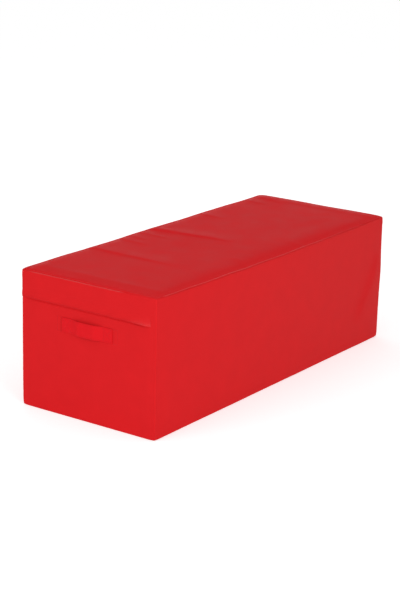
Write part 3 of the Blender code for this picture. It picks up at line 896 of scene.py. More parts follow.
@dataclass(frozen=True)
class FilledCover:
    """The form that the foam gives the cover: a rounded box with crowned faces, folds, seams and corners."""

    top_crown: float = 8.5 * MM
    edge_reach: float = 22 * MM
    edge_spread: Span = (1.1, 0.2)  # its share at the middle, and what that loses towards the rear
    side_reach: float = 30 * MM
    roll_place: float = 72 * MM
    roll_width: float = 26 * MM
    roll_share: float = 0.28
    side_crown: float = 4.0 * MM
    end_crown: float = 2.0 * MM
    rim_reach: float = 50 * MM
    zip_reach: float = 60 * MM
    strap_reach: Span = (0.21, 0.08)  # the end stays flat this far along and this far up from the strap
    seam_sag: float = 8.5 * MM
    sag_power: float = 0.8  # below one it fills the sag out towards the ends
    sag_ripple: float = 0.9 * MM
    ripple_length: float = 0.29
    ripple_phase: float = 0.6
    sag_reach: Span = (50 * MM, 80 * MM)
    corner_pull: float = 2.2 * MM
    corner_reach: float = 16 * MM
    lip_height: float = 1.9 * MM
    lip_place: float = 2.9 * MM
    lip_width: float = 1.4 * MM
    polish_width: float = 2.0 * MM
    trough_depth: float = 0.9 * MM
    trough_place: float = 8.0 * MM
    trough_width: float = 3.0 * MM
    groove_shade_depth: float = 2.4 * MM
    groove_shade_width: float = 1.3 * MM
    pucker_height: float = 0.2 * MM
    pucker_reach: float = 9 * MM
    # Gathers: share of the height, wavelength and how far the seam's phase turns them.
    gathers: tuple[Triple, ...] = ((1.0, 0.024, 1.0), (0.8, 0.041, 2.1), (0.9, 0.087, 3.7))
    patchiness: Triple = (0.45, 0.37, 1.3)  # the same of the swells that make the gathers come and go
    phase_step: float = 1.7
    corner_calm: float = 15 * MM
    floor_prominence: float = 0.2
    corner_prominence: float = 0.25  # what the corner seams add to it
    floor_ease: float = 30 * MM
    upper_from: float = 50 * MM
    upper_ease: float = 40 * MM
    slack_share: float = 0.9
    slack_reach: float = 60 * MM
    slack_stretch: float = 2.5
    lower_recess: float = 2.0 * MM
    recess_ease: float = 60 * MM
    hollow_depth: float = 4.4 * MM
    hollow_drop: float = 4.0 * MM
    hollow_width: float = 3.4 * MM
    ear_ease: float = 70 * MM
    rear_from: float = 0.9 * HALF_DEPTH
    rear_corner: float = 22 * MM
    rear_corner_loss: float = 0.8
    shine: SeamShine = SeamShine()
    box: RoundedBox = RoundedBox(
        (-HALF_LENGTH - FULLNESS, -HALF_DEPTH - FULLNESS, 0.0),
        (HALF_LENGTH + FULLNESS, HALF_DEPTH + FULLNESS, HEIGHT),
        7 * MM,
        5 * MM,
    )
    folds: tuple[Fold, ...] = (
        Fold(Face.TOP, (-0.046, 0.335), (0.022, -0.16), 5.3 * MM, steep=13 * MM, gentle=60 * MM, bow=3 * MM),
        Fold(Face.TOP, (-0.030, 0.330), (-0.012, 0.16), 1.6 * MM, steep=14 * MM, gentle=22 * MM),
        Fold(Face.TOP, (-0.476, 0.335), (-0.481, -0.19), 4.7 * MM, steep=13 * MM, gentle=60 * MM, bow=3 * MM),
        Fold(Face.TOP, (-0.265, 0.335), (-0.285, 0.14), 2.6 * MM, steep=14 * MM, gentle=30 * MM),
        Fold(Face.TOP, (-0.195, 0.335), (-0.225, 0.19), 2.0 * MM, steep=12 * MM, gentle=22 * MM),
        Fold(Face.TOP, (-0.125, 0.335), (-0.135, 0.12), 2.6 * MM, steep=14 * MM, gentle=30 * MM),
        Fold(Face.TOP, (0.345, 0.335), (0.330, 0.17), 2.2 * MM, steep=14 * MM, gentle=34 * MM),
        Fold(Face.TOP, (0.735, 0.335), (0.700, 0.17), 2.4 * MM, steep=14 * MM, gentle=34 * MM),
        Fold(Face.TOP, (0.830, 0.300), (0.770, 0.10), 2.0 * MM, steep=14 * MM, gentle=34 * MM),
        Fold(Face.TOP, (-0.235, -0.345), (-0.215, -0.20), 1.4 * MM, steep=22 * MM, gentle=36 * MM),
        Fold(Face.TOP, (0.190, -0.345), (0.175, -0.24), 1.2 * MM, steep=20 * MM, gentle=30 * MM),
        Fold(
            Face.FRONT, (0.866, 0.390), (0.666, 0.115), 6.5 * MM,
            steep=36 * MM, gentle=85 * MM, bow=-15 * MM, fade_in=0.35, fade_out=0.25,
        ),
        Fold(Face.FRONT, (0.600, 0.590), (0.640, 0.24), 0.8 * MM, steep=40 * MM, gentle=80 * MM),
        Fold(Face.FRONT, (-0.300, 0.010), (-0.330, 0.16), 0.7 * MM, steep=24 * MM, gentle=34 * MM),
        Fold(Face.REAR, (0.420, 0.010), (0.500, 0.30), 1.5 * MM, steep=18 * MM, gentle=50 * MM),
        Fold(Face.REAR, (-0.640, 0.010), (-0.700, 0.26), 1.4 * MM, steep=18 * MM, gentle=50 * MM),
    )
    waves: tuple[Wave, ...] = (
        Wave(0.55 * MM, 0.53, (1.0, 0.35, 0.2), 0.4),
        Wave(0.45 * MM, 0.34, (0.8, -0.9, 0.5), 1.9),
        Wave(0.35 * MM, 0.23, (0.3, 1.0, -0.8), 3.3),
        Wave(0.30 * MM, 0.17, (1.0, -0.4, -1.0), 5.0),
    )
    wave_shares: Span = (0.8, 0.5)  # how much of the waves the sides and the ends take

    def relief(self, points: Grid, normals: Grid) -> Grid:
        """How far the cover stands out from the rounded box at each point.

        Each face's crown is its height times one less a bell curve of the distance from each edge. At
        the ends of the top it is one less a falling exponential, which slopes most at the seam, with a
        low roll behind it. Swells and folds are added, and a bell curve of the distance pulls the corners in.

        Args:
            points: Points on the rounded box.
            normals: Outward normals there.

        Returns:
            Distances along the normals, in metres.
        """
        x, y, z = np.moveaxis(points, -1, 0)
        nx, ny, nz = np.moveaxis(normals, -1, 0)
        to_end, to_side = HALF_LENGTH - np.abs(x), HALF_DEPTH - np.abs(y)
        to_rim = np.minimum(z, HEIGHT - z)
        free_of_zip = 1 - bell(z - ZIP_LEVEL, self.zip_reach)
        by_strap = np.exp(-((y / self.strap_reach[0]) ** 4) - ((z - STRAP_LEVEL) / self.strap_reach[1]) ** 4)
        top, front = np.clip(nz, 0, 1) ** 2, np.clip(-ny, 0, 1) ** 2
        rear = np.clip(ny, 0, 1) ** 2 * free_of_zip
        end = nx**2 * free_of_zip * (1 - by_strap)
        off_ends, off_rims = 1 - bell(to_end, self.rim_reach), 1 - bell(to_rim, self.rim_reach)
        spread, loss = self.edge_spread
        roll = 1 - np.exp(-np.maximum(to_end, 0) / (self.edge_reach * (spread - loss * y / HALF_DEPTH)))
        roll += self.roll_share * bell(to_end - self.roll_place, self.roll_width)
        rise = top * self.top_crown * roll * (1 - bell(to_side, self.side_reach))
        rise += (front + rear) * self.side_crown * off_ends * off_rims
        rise += end * self.end_crown * (1 - bell(to_side, self.rim_reach)) * off_rims
        on_sides, on_ends = self.wave_shares
        swells = sum(wave.rise(points) for wave in self.waves)
        rise += (top + on_sides * (front + rear) + on_ends * end) * swells
        weights = {Face.TOP: top, Face.FRONT: front, Face.REAR: rear}
        rise += sum(weights[fold.face] * fold.rise(points) for fold in self.folds)
        corner = np.sqrt(to_end**2 + to_side**2 + to_rim**2)
        return rise - self.corner_pull * bell(corner, self.corner_reach)

    def sag(self, points: Grid) -> Grid:
        """Drop of the seam along the top of the front: half a sine wave along it, fading away from it.

        Args:
            points: Points on the cover.

        Returns:
            Shifts along Z, in metres.
        """
        x, y, z = np.moveaxis(points, -1, 0)
        arch = np.sin(math.pi * np.clip((x + HALF_LENGTH) / (2 * HALF_LENGTH), 0, 1)) ** self.sag_power
        ripple = np.sin(math.tau * x / self.ripple_length + self.ripple_phase)
        drop = arch * (self.seam_sag + self.sag_ripple * ripple)
        return -drop * bell(y + HALF_DEPTH, self.sag_reach[0]) * bell(z - HEIGHT, self.sag_reach[1])

    def prominence(self, points: Grid) -> Grid:
        """How strongly seams show: fully round the top, half as much down the corners, least by the floor.

        A bell curve of the distance, stretched across the block, takes most of it away round the near
        top corner, where the cover is slack.

        Args:
            points: Points on the rounded box.

        Returns:
            Shares of the full relief.
        """
        x, y, height = np.moveaxis(points, -1, 0)
        upper = smooth_step((height - HEIGHT + self.upper_from) / self.upper_ease)
        across = (y + HALF_DEPTH) / self.slack_stretch
        away = np.sqrt((x + HALF_LENGTH) ** 2 + across**2 + (HEIGHT - height) ** 2)
        taut = 1 - self.slack_share * bell(away, self.slack_reach)
        below = self.floor_prominence + self.corner_prominence * smooth_step(height / self.floor_ease)
        return (below * (1 - upper) + upper) * taut

    def welt(self, away: Grid) -> Grid:
        """Relief beside a seam: bell curves for the groove at it, the lip beside it and a trough behind.

        Args:
            away: Distance from the seam.

        Returns:
            Distances along the normals, in metres.
        """
        lip = self.lip_height * bell(away - self.lip_place, self.lip_width)
        trough = self.trough_depth * bell(away - self.trough_place, self.trough_width)
        return lip - trough - self.groove_shade_depth * bell(away, self.groove_shade_width)

    def pucker(self, away: Grid, along: Grid, phase: float) -> Grid:
        """Gathers beside a seam, which fade away from it.

        They are a sum of sines along the seam, stronger and weaker by turns, times the distance over
        its reach, times e to the power of one less that.

        Args:
            away: Distance from the seam.
            along: Place along the seam.
            phase: Shifts the gathers, so that no two seams are alike.

        Returns:
            Distances along the normals, in metres.
        """
        ripple = sum(
            share * np.sin(math.tau * along / length + turn * phase) for share, length, turn in self.gathers
        )
        share, length, turn = self.patchiness
        patchy = 1 - share + share * np.sin(math.tau * along / length + turn * phase)
        reach = away / self.pucker_reach
        return self.pucker_height * ripple * patchy * reach * np.exp(1 - reach)

    def lay(
        self, face: Face, u: Grid, v: Grid, sewn: tuple[bool, ...] = (False,) * 4, lower: bool = False
    ) -> Surface:
        """Lay one panel's outer side on a face.

        Args:
            face: The face that it lies on.
            u: Values across the face.
            v: Values along the face.
            sewn: Whether a seam runs at the first and last u and at the first and last v.
            lower: Whether it is a lower panel, which lies a little deeper below the zip.

        Returns:
            The surface, its cloth coordinates the sharp box's own.
        """
        guide = self.box.guide(face, u, v)
        full = np.array((HALF_LENGTH + FULLNESS, HALF_DEPTH + FULLNESS, HEIGHT))
        at_border = np.abs(np.abs(guide) - np.array((HALF_LENGTH, HALF_DEPTH, HEIGHT))) < HAIR
        points, normals = self.box.skin(np.where(at_border, np.sign(guide) * full, guide))
        rise = self.relief(points, normals)
        distances = {}
        for place, (axis, at_start) in enumerate(((0, True), (0, False), (1, True), (1, False))):
            if sewn[place]:
                step = np.linalg.norm(np.diff(points, axis=axis), axis=-1)
                away = np.cumsum(np.insert(step, 0, 0.0, axis=axis), axis=axis)
                last = away[-1:] if axis == 0 else away[:, -1:]
                distances[place] = away if at_start else last - away
        lips = np.zeros_like(rise)
        for place, away in distances.items():
            others = [other for key, other in distances.items() if key != place]
            calm = np.prod([smooth_step(other / self.corner_calm) for other in others], axis=0)
            run = v[None, :] if place < 2 else u[:, None]
            rise = rise + self.pucker(away, run, self.phase_step * place + sum(face.value)) * calm
            lips = np.maximum(lips, bell(away - self.lip_place, self.polish_width))
        if distances:
            nearest = np.min(list(distances.values()), axis=0)
            rise = rise + self.welt(nearest) * self.prominence(points)
        if lower:
            rise = rise - self.recess(points)
        moved = points + normals * rise[..., None]
        moved[..., 2] = np.maximum(moved[..., 2] + self.sag(points), 0.0)
        uv = np.stack(np.meshgrid(u, v, indexing="ij"), axis=-1)
        return Surface(moved, normals, uv, lips * self.shine.at(points, normals))

    def recess(self, points: Grid) -> Grid:
        """Depth of the lower panels: eased in above the floor, with a hollow where the zip draws them in.

        The hollow is a bell curve of the height, and the rear corners keep little of either.

        Args:
            points: Points on the rounded box.

        Returns:
            Distances inwards, in metres.
        """
        x, y, z = np.moveaxis(points, -1, 0)
        from_ear = smooth_step(np.where(y > self.rear_from, 1.0, (y - ZIP_FRONT) / self.ear_ease))
        depth = self.lower_recess * smooth_step(z / self.recess_ease)
        hollow = self.hollow_depth * bell(z - FLAP_EDGE + self.hollow_drop, self.hollow_width)
        to_corner = np.hypot(HALF_LENGTH - np.abs(x), HALF_DEPTH - y)
        return (depth + hollow) * from_ear * (1 - self.rear_corner_loss * bell(to_corner, self.rear_corner))


FORM = FilledCover()


def dress(piece: Piece, nodes: tuple[str, ...] = (), body: str | None = None) -> Piece:
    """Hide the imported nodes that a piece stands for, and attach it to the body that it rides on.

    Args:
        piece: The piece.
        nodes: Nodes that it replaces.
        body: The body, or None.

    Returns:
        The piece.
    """
    if nodes:
        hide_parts(*nodes)
    if body:
        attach(piece, body)
    LOG.info("%s: %d faces, on %s", piece.name, len(piece.data.polygons), body or "two bodies")
    return piece


@dataclass(frozen=True)
class SubAssembly(ABC):
    """Pieces that belong together, made with the block's finishes."""

    finishes: Finishes

    @abstractmethod
    def build(self) -> None:
        """Build the pieces and dress them."""

    def stitches(self, shell: Shell, name: str, body: str | None = None, *nodes: str) -> Piece:
        """Make a shell the stitches of something, in thread."""
        return dress(shell.piece(f"{name}_stitches", self.finishes.thread), nodes, body)


# The cover's panels


@dataclass(frozen=True)
class CoverPanels(SubAssembly):
    """The cover's sewn panels below the zip, and the lid that the zip frees."""

    thickness: float = 1.0 * MM
    pitch: float = 6.0 * MM
    hidden_pitch: float = 18.0 * MM
    rear_pitch: float = 7.5 * MM
    hem_radius: float = 1.85 * MM
    hem_leg: float = 18 * MM
    hem_gap: float = 0.1 * MM
    hem_share: float = 0.8  # a band's hem lies flatter than the panel
    hem_rows: int = 6
    turn_from: float = 24 * MM  # below a lower panel's upper edge, where its rows lie close
    turn_rows: int = 19
    turned_edge: float = 22 * MM  # cloth that a lower panel's turned edge takes up
    band_height: float = 122 * MM  # a band and its turned hem, laid flat
    hinge_start: float = 3.5 * MM
    hinge_end: float = 24.5 * MM
    bend_pitch: float = 0.8 * MM
    bend_stop: float = ZIP_FRONT - 0.3 * MM
    least_painted_sheen: float = 0.1
    sheen_ramp_length: float = 1.6 * HALF_LENGTH  # from the left end to where the front's painted sheen is full
    # The front's fold is stretched on one flank, which tilts out of the reflection, so its painted sheen is
    # less by this share.
    sheenless_flank: Fold = Fold(
        Face.FRONT, (0.865, 0.420), (0.655, 0.100), 0.45,
        steep=40 * MM, gentle=40 * MM, fade_in=0.1, fade_out=0.3,
    )

    def build(self) -> None:
        """Build every panel."""
        self.build_whole_faces()
        self.build_rear()
        for end in End:
            self.build_end(end)

    def panel(
        self, shell: Shell, name: str, node: str, material: Material, body: str | None, flat: Span, foam: str
    ) -> Piece:
        """Make a stretched panel. Without a body, its place is baked into its mesh.

        Args:
            shell: Its shape.
            name: Its name.
            node: The node that it replaces.
            material: Its finish.
            body: The body that it rides on, or None.
            flat: Its flat size. Not used.
            foam: The foam that it rests on. Not used.

        Returns:
            The panel.
        """
        item = dress(shell.piece(name, material), (node,), body)
        if body is None:
            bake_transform(item)
        return item

    def bend_columns(self) -> Grid:
        """Close columns behind the front edge."""
        return graded(-HALF_DEPTH, self.bend_stop, (True, False), self.bend_pitch)

    def build_whole_faces(self) -> None:
        """The top, the base and the front, each one panel sewn all round."""
        fine = (True, True)
        long = graded(-HALF_LENGTH, HALF_LENGTH, fine, self.pitch)
        tall = graded(0.0, HEIGHT, fine, self.pitch)
        wide, deep = (graded(-half, half, fine, self.hidden_pitch) for half in (HALF_LENGTH, HALF_DEPTH))
        bend = self.bend_columns()
        across = np.concatenate([bend, graded(bend[-1], HALF_DEPTH, (False, True), self.pitch)[1:]])
        faces = (
            (Face.TOP, long, across, self.finishes.glossy_seamed, None, 2 * HALF_DEPTH, "firm_top_foam"),
            (Face.FRONT, long, tall, self.finishes.cover, "block", HEIGHT, "lower_core_foam"),
            (Face.BASE, wide, deep, self.finishes.cover, "block", 2 * HALF_DEPTH, "firm_base_foam"),
        )
        for face, u, v, material, body, width, foam in faces:
            shell = FORM.lay(face, u, v, (True,) * 4).thickened(self.thickness)
            name, node, flat = f"{face.label}_cover_panel", f"{face.label}_panel", (2 * HALF_LENGTH, width)
            panel = self.panel(shell, name, node, material, body, flat, foam)
            if face is Face.FRONT:
                # the front carries a painted sheen mark
                self.wear_front(panel)

    def wear_front(self, front: Piece) -> None:
        """Mark the front's painted sheen, greyer towards the right: a straight ramp of X, less a bell curve
        on the fold's taut flank.

        Args:
            front: The front panel.
        """
        flat = np.empty(3 * len(front.data.vertices), np.float32)
        front.data.vertices.foreach_get("co", flat)
        points = flat.reshape(-1, 3).astype(float)
        share = (points[:, 0] + HALF_LENGTH) / self.sheen_ramp_length
        ramp = np.clip(self.least_painted_sheen + (1 - self.least_painted_sheen) * share, 0, 1)
        wear = (ramp * (1 - self.sheenless_flank.rise(points))).astype(np.float32)
        front.data.attributes.new("wear", "FLOAT", "POINT").data.foreach_set("value", wear)

    def band(self, face: Face, u: Grid, sewn: tuple[bool, bool], hem_from: float | None) -> Shell:
        """A band of the lid with the turned hem behind its lower edge.

        Args:
            face: The face that it lies on.
            u: Values across the face.
            sewn: Whether its first and its last border are sewn.
            hem_from: Where the hem starts across the face, or None where it runs the whole way.

        Returns:
            The band and its hem.
        """
        rows = graded(FLAP_TOP, HEIGHT, (False, True), self.pitch)
        band = FORM.lay(face, u, rows, (*sewn, False, True)).thickened(self.thickness)
        run = u if hem_from is None else np.concatenate([[hem_from], u[u > hem_from + MM]])
        behind = FORM.lay(face, run, np.linspace(HEM_TOP, FLAP_TOP + self.hem_radius, self.hem_rows))
        behind.points = behind.points - behind.normals * (self.thickness + self.hem_gap)
        hem = behind.turned_in(self.hem_radius, self.hem_leg).thickened(self.hem_share * self.thickness)
        return Shell.joined([band, hem])

    def lower(self, face: Face, u: Grid, sewn: tuple[bool, bool]) -> Shell:
        """A panel below the zip, its upper edge turned in.

        Args:
            face: The face that it lies on.
            u: Values across the face.
            sewn: Whether its first and its last border are sewn.

        Returns:
            The panel.
        """
        top = LOWER_TOP - self.hem_radius
        rows = graded(0.0, top - self.turn_from, (True, False), self.pitch)
        rows = np.concatenate([rows, np.linspace(rows[-1], top, self.turn_rows)[1:]])
        flat = FORM.lay(face, u, rows, (*sewn, True, False), lower=True)
        return flat.turned_in(self.hem_radius, self.hem_leg).thickened(self.thickness)

    def build_pair(
        self, face: Face, lower: Shell, band: Shell, length: float, body: str | None, finish: Material
    ) -> None:
        """The panel below the zip and the band above it, on one side of the block.

        Args:
            face: Which side.
            lower: The lower panel's shape.
            band: The band's shape.
            length: The side's length.
            body: The band's body, or None.
            finish: The band's finish.
        """
        flat = (length, LOWER_TOP + self.turned_edge)
        name, node = f"{face.label}_lower_cover_panel", f"{face.label}_lower_panel"
        self.panel(lower, name, node, self.finishes.cover, "block", flat, "lower_core_foam")
        flat = (length, self.band_height)
        name, node = f"{face.label}_cover_band", f"{face.label}_band"
        self.panel(band, name, node, finish, body, flat, "firm_top_foam")

    def build_rear(self) -> None:
        """The rear's lower panel and the rear band of the lid."""
        u = graded(-HALF_LENGTH, HALF_LENGTH, (True, True), self.rear_pitch)
        lower, band = self.lower(Face.REAR, u, (True, True)), self.band(Face.REAR, u, (True, True), None)
        self.build_pair(Face.REAR, lower, band, 2 * HALF_LENGTH, "lid", self.finishes.cover)

    def build_end(self, end: End) -> None:
        """One end's lower panel, with the ear that closes its front corner, and its band of the lid.

        Args:
            end: Which end.
        """
        face = Face[end.name]
        front = graded(-HALF_DEPTH, self.bend_stop, (True, False), self.pitch)
        rest = graded(self.bend_stop, HALF_DEPTH, (False, True), self.pitch)
        rows = graded(0.0, FLAP_TOP, (True, False), self.pitch)
        ear = FORM.lay(face, front, rows, (True, False, True, False)).thickened(self.thickness)
        lower = Shell.joined([self.lower(face, rest, (False, True)), ear])
        whole = np.concatenate([self.bend_columns(), rest[1:]])
        band = self.band(face, whole, (True, True), ZIP_FRONT + MM)
        self.build_pair(face, lower, band, 2 * HALF_DEPTH, None, self.finishes.glossy_seamed)


@dataclass(frozen=True)
class ZipFlaps(SubAssembly):
    """Flaps of the cover that hang over the zip, their lower edges turned and standing off a little."""

    thickness: float = 0.9 * MM
    turn_radius: float = 1.6 * MM
    turn_leg: float = 9 * MM
    turned_edge: float = 11 * MM  # cloth that the turned edge takes up
    hinge: float = 11 * MM  # how much of its height lies in the hinge
    stand_off: float = 5.8 * MM
    lift_height: float = 26 * MM
    # Swells along a flap: share of the stand-off, wavelength and phase.
    swells: tuple[Triple, ...] = ((0.12, 0.19, 0.8), (0.1, 0.083, 0.0))
    calm_reach: float = 50 * MM
    calm_least: float = 0.3
    tuck: float = 3.2 * MM
    tuck_height: float = 6 * MM
    curl: float = 8.0 * MM
    curl_reach: float = 130 * MM
    curl_height: float = 9.0 * MM
    curl_end: float = 22 * MM
    front_flatness: float = 0.85
    fine_height: float = 12 * MM  # how far up from its edge the rows lie close
    rows: tuple[int, int] = (8, 12)
    stitch_row: int = 4  # the row that the stitches follow, from the turned edge's end
    pitch: float = 5.0 * MM

    def build(self) -> None:
        """Build the three flaps and their rows of stitches."""
        spans = {
            Face.LEFT: (ZIP_FRONT, HALF_DEPTH, False),
            Face.RIGHT: (RIGHT_FLAP_FRONT, HALF_DEPTH, False),
            Face.REAR: (-HALF_LENGTH, HALF_LENGTH, True),
        }
        for face, (first, last, at_corner) in spans.items():
            label = face.label
            surface = self.hanging(face, graded(first, last, (at_corner, True), self.pitch))
            cloth = surface.turned_in(self.turn_radius, self.turn_leg).thickened(self.thickness)
            flap = cloth.piece(f"{label}_cover_flap", self.finishes.glossy_seamed)
            dress(flap, (f"{label}_zip_flap",))
            row = -self.stitch_row
            seam = StitchRow().along(surface.points[:, row], surface.normals[:, row])
            stitches = self.stitches(seam, f"{label}_flap")
            for piece in (flap, stitches):
                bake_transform(piece)

    def hanging(self, face: Face, u: Grid) -> Surface:
        """The outer side of a flap, from its hinge down to where its lower edge turns in.

        It stands off by an ease over its height, less a falling exponential that tucks its edge in.
        Near the front end it lies flatter and another such exponential curls its edge out, except at
        the very end.

        Args:
            face: The face that it hangs on.
            u: Values across the face.

        Returns:
            The surface.
        """
        bottom = FLAP_EDGE + self.turn_radius
        fine_from, (wide, close) = bottom + self.fine_height, self.rows
        rows = np.linspace(FLAP_TOP, fine_from, wide)[:-1], np.linspace(fine_from, bottom, close)
        rows = np.concatenate(rows)
        surface = FORM.lay(face, u, rows)
        along, height = u[:, None], rows[None, :] - bottom
        calm = smooth_step((u[-1] - (np.abs(along) if face is Face.REAR else along)) / self.calm_reach)
        swell = sum(share * np.sin(math.tau * along / length + phase) for share, length, phase in self.swells)
        ease = smooth_step((FLAP_TOP - rows[None, :]) / self.lift_height)
        off = self.stand_off * (1 + calm * swell) * ease - self.tuck * np.exp(-height / self.tuck_height)
        off *= self.calm_least + (1 - self.calm_least) * calm
        if face is not Face.REAR:
            from_front = along - u[0]
            lip = smooth_step(1 - from_front / self.curl_reach) * np.exp(-height / self.curl_height)
            off *= 1 - self.front_flatness * smooth_step(1 - from_front / self.curl_reach)
            off += self.curl * lip * smooth_step(from_front / self.curl_end)
            surface.polish = lip
        surface.points = surface.points + surface.normals * off[..., None]
        normals = unit(np.cross(np.gradient(surface.points, axis=0), np.gradient(surface.points, axis=1)))
        surface.normals = normals * np.sign(np.einsum("ijk,ijk->", normals, surface.normals))
        return surface


# Stitches


@dataclass(frozen=True)
class StitchRow:
    """Lockstitch: short arched lengths of thread that dive into the cloth at both ends."""

    pitch: float = 4.2 * MM
    length: float = 3.3 * MM
    radius: float = 0.42 * MM
    sides: int = 6
    rings: Triple = (-0.72, 0.0, 0.72)  # where its rings stand, in half lengths
    thinning: float = 0.45  # what a ring's radius loses towards the tips, as a share of the thread's
    crest: float = 0.55  # how high the middle ring's centre stands, in radii
    dive: float = 0.9  # how far the rings' centres sink towards the tips, in radii
    look: float = 0.4  # how far ahead and behind a stitch takes its heading, in pitches

    def template(self) -> tuple[Grid, Grid, Grid]:
        """One stitch along X, its cloth at Z 0.

        Between its two tips stand three rings. A ring's radius and height follow a parabola of its
        place along the stitch.

        Returns:
            Points, quads and triangles.
        """
        place = np.array(self.rings)[:, None]
        size = self.radius * (1 - self.thinning * place**2)
        height = self.radius * (self.crest - self.dive * place**2)
        angle = np.arange(self.sides) * math.tau / self.sides
        along = np.broadcast_to(place * self.length / 2, (len(place), self.sides))
        rings = np.stack([along, size * np.cos(angle), height + size * np.sin(angle)], axis=-1)
        tips = [[side * self.length / 2, 0, -self.radius] for side in (-1, 1)]
        quads, triangles = tube(len(place), self.sides)
        return np.concatenate([rings.reshape(-1, 3), tips]), quads[:, ::-1], triangles[:, ::-1]

    def along(self, line: Grid, normals: Grid) -> Shell:
        """Lay stitches along a line of points on the cloth.

        Args:
            line: Points of the line.
            normals: Outward normals at them.

        Returns:
            All the stitches as one shell.
        """
        step = np.linalg.norm(np.diff(line, axis=0), axis=-1)
        run = np.concatenate([[0.0], np.cumsum(step)])
        count = max(int(run[-1] / self.pitch), 1)
        places = (np.arange(count) + 0.5) * run[-1] / count

        def sample(values: Grid, where: Grid) -> Grid:
            """Values along the line at distances along it, read off between its points."""
            return np.stack([np.interp(where, run, values[:, axis]) for axis in range(3)], axis=-1)

        reach = self.look * self.pitch
        ahead = unit(sample(line, places + reach) - sample(line, places - reach))
        aside = unit(np.cross(sample(normals, places), ahead))
        points, quads, triangles = self.template()
        axes = np.stack([ahead, aside, np.cross(ahead, aside)], axis=1)
        return Shell.repeated(sample(line, places)[:, None] + points @ axes, quads, triangles)


# The zip


@dataclass(frozen=True)
class ZipRun:
    """A line at a depth inside the cover: up the left end, along the rear and down the right end."""

    depth: float
    left_front: float
    right_front: float
    corner: float = 15 * MM

    @property
    def lengths(self) -> tuple[float, float, float, float]:
        """Left run, corner arc, rear run and right run.

        Returns:
            Their lengths.
        """
        radius = self.corner - self.depth
        turn_at = HALF_DEPTH - self.corner
        return (
            turn_at - self.left_front,
            radius * math.pi / 2,
            2 * (HALF_LENGTH - self.corner),
            turn_at - self.right_front,
        )

    @property
    def length(self) -> float:
        """The whole length."""
        left, arc, rear, right = self.lengths
        return left + 2 * arc + rear + right

    def at(self, place: Grid, level: float) -> tuple[Grid, Grid, Grid]:
        """Points of the line at distances along it.

        Each stretch adds its own share: straight up the left end, a quarter circle, straight along
        the rear, a quarter circle and straight down the right end.

        Args:
            place: Distances along the line.
            level: Height of the line.

        Returns:
            Points, headings and outward normals.
        """
        radius = self.corner - self.depth
        left, arc, rear, _ = self.lengths
        up = np.minimum(place, left)
        first = np.clip(place - left, 0, arc) / radius
        across = np.clip(place - left - arc, 0, rear)
        second = np.clip(place - left - arc - rear, 0, arc) / radius
        down = np.maximum(place - left - 2 * arc - rear, 0)
        x = -HALF_LENGTH + self.depth + radius * (1 - np.cos(first)) + across + radius * np.sin(second)
        y = self.left_front + up + radius * np.sin(first) - radius * (1 - np.cos(second)) - down
        turn = math.pi / 2 - first - second
        level_there = np.full_like(x, level)
        flat = np.zeros_like(x)
        return (
            np.stack([x, y, level_there], axis=-1),
            np.stack([np.cos(turn), np.sin(turn), flat], axis=-1),
            np.stack([-np.sin(turn), np.cos(turn), flat], axis=-1),
        )


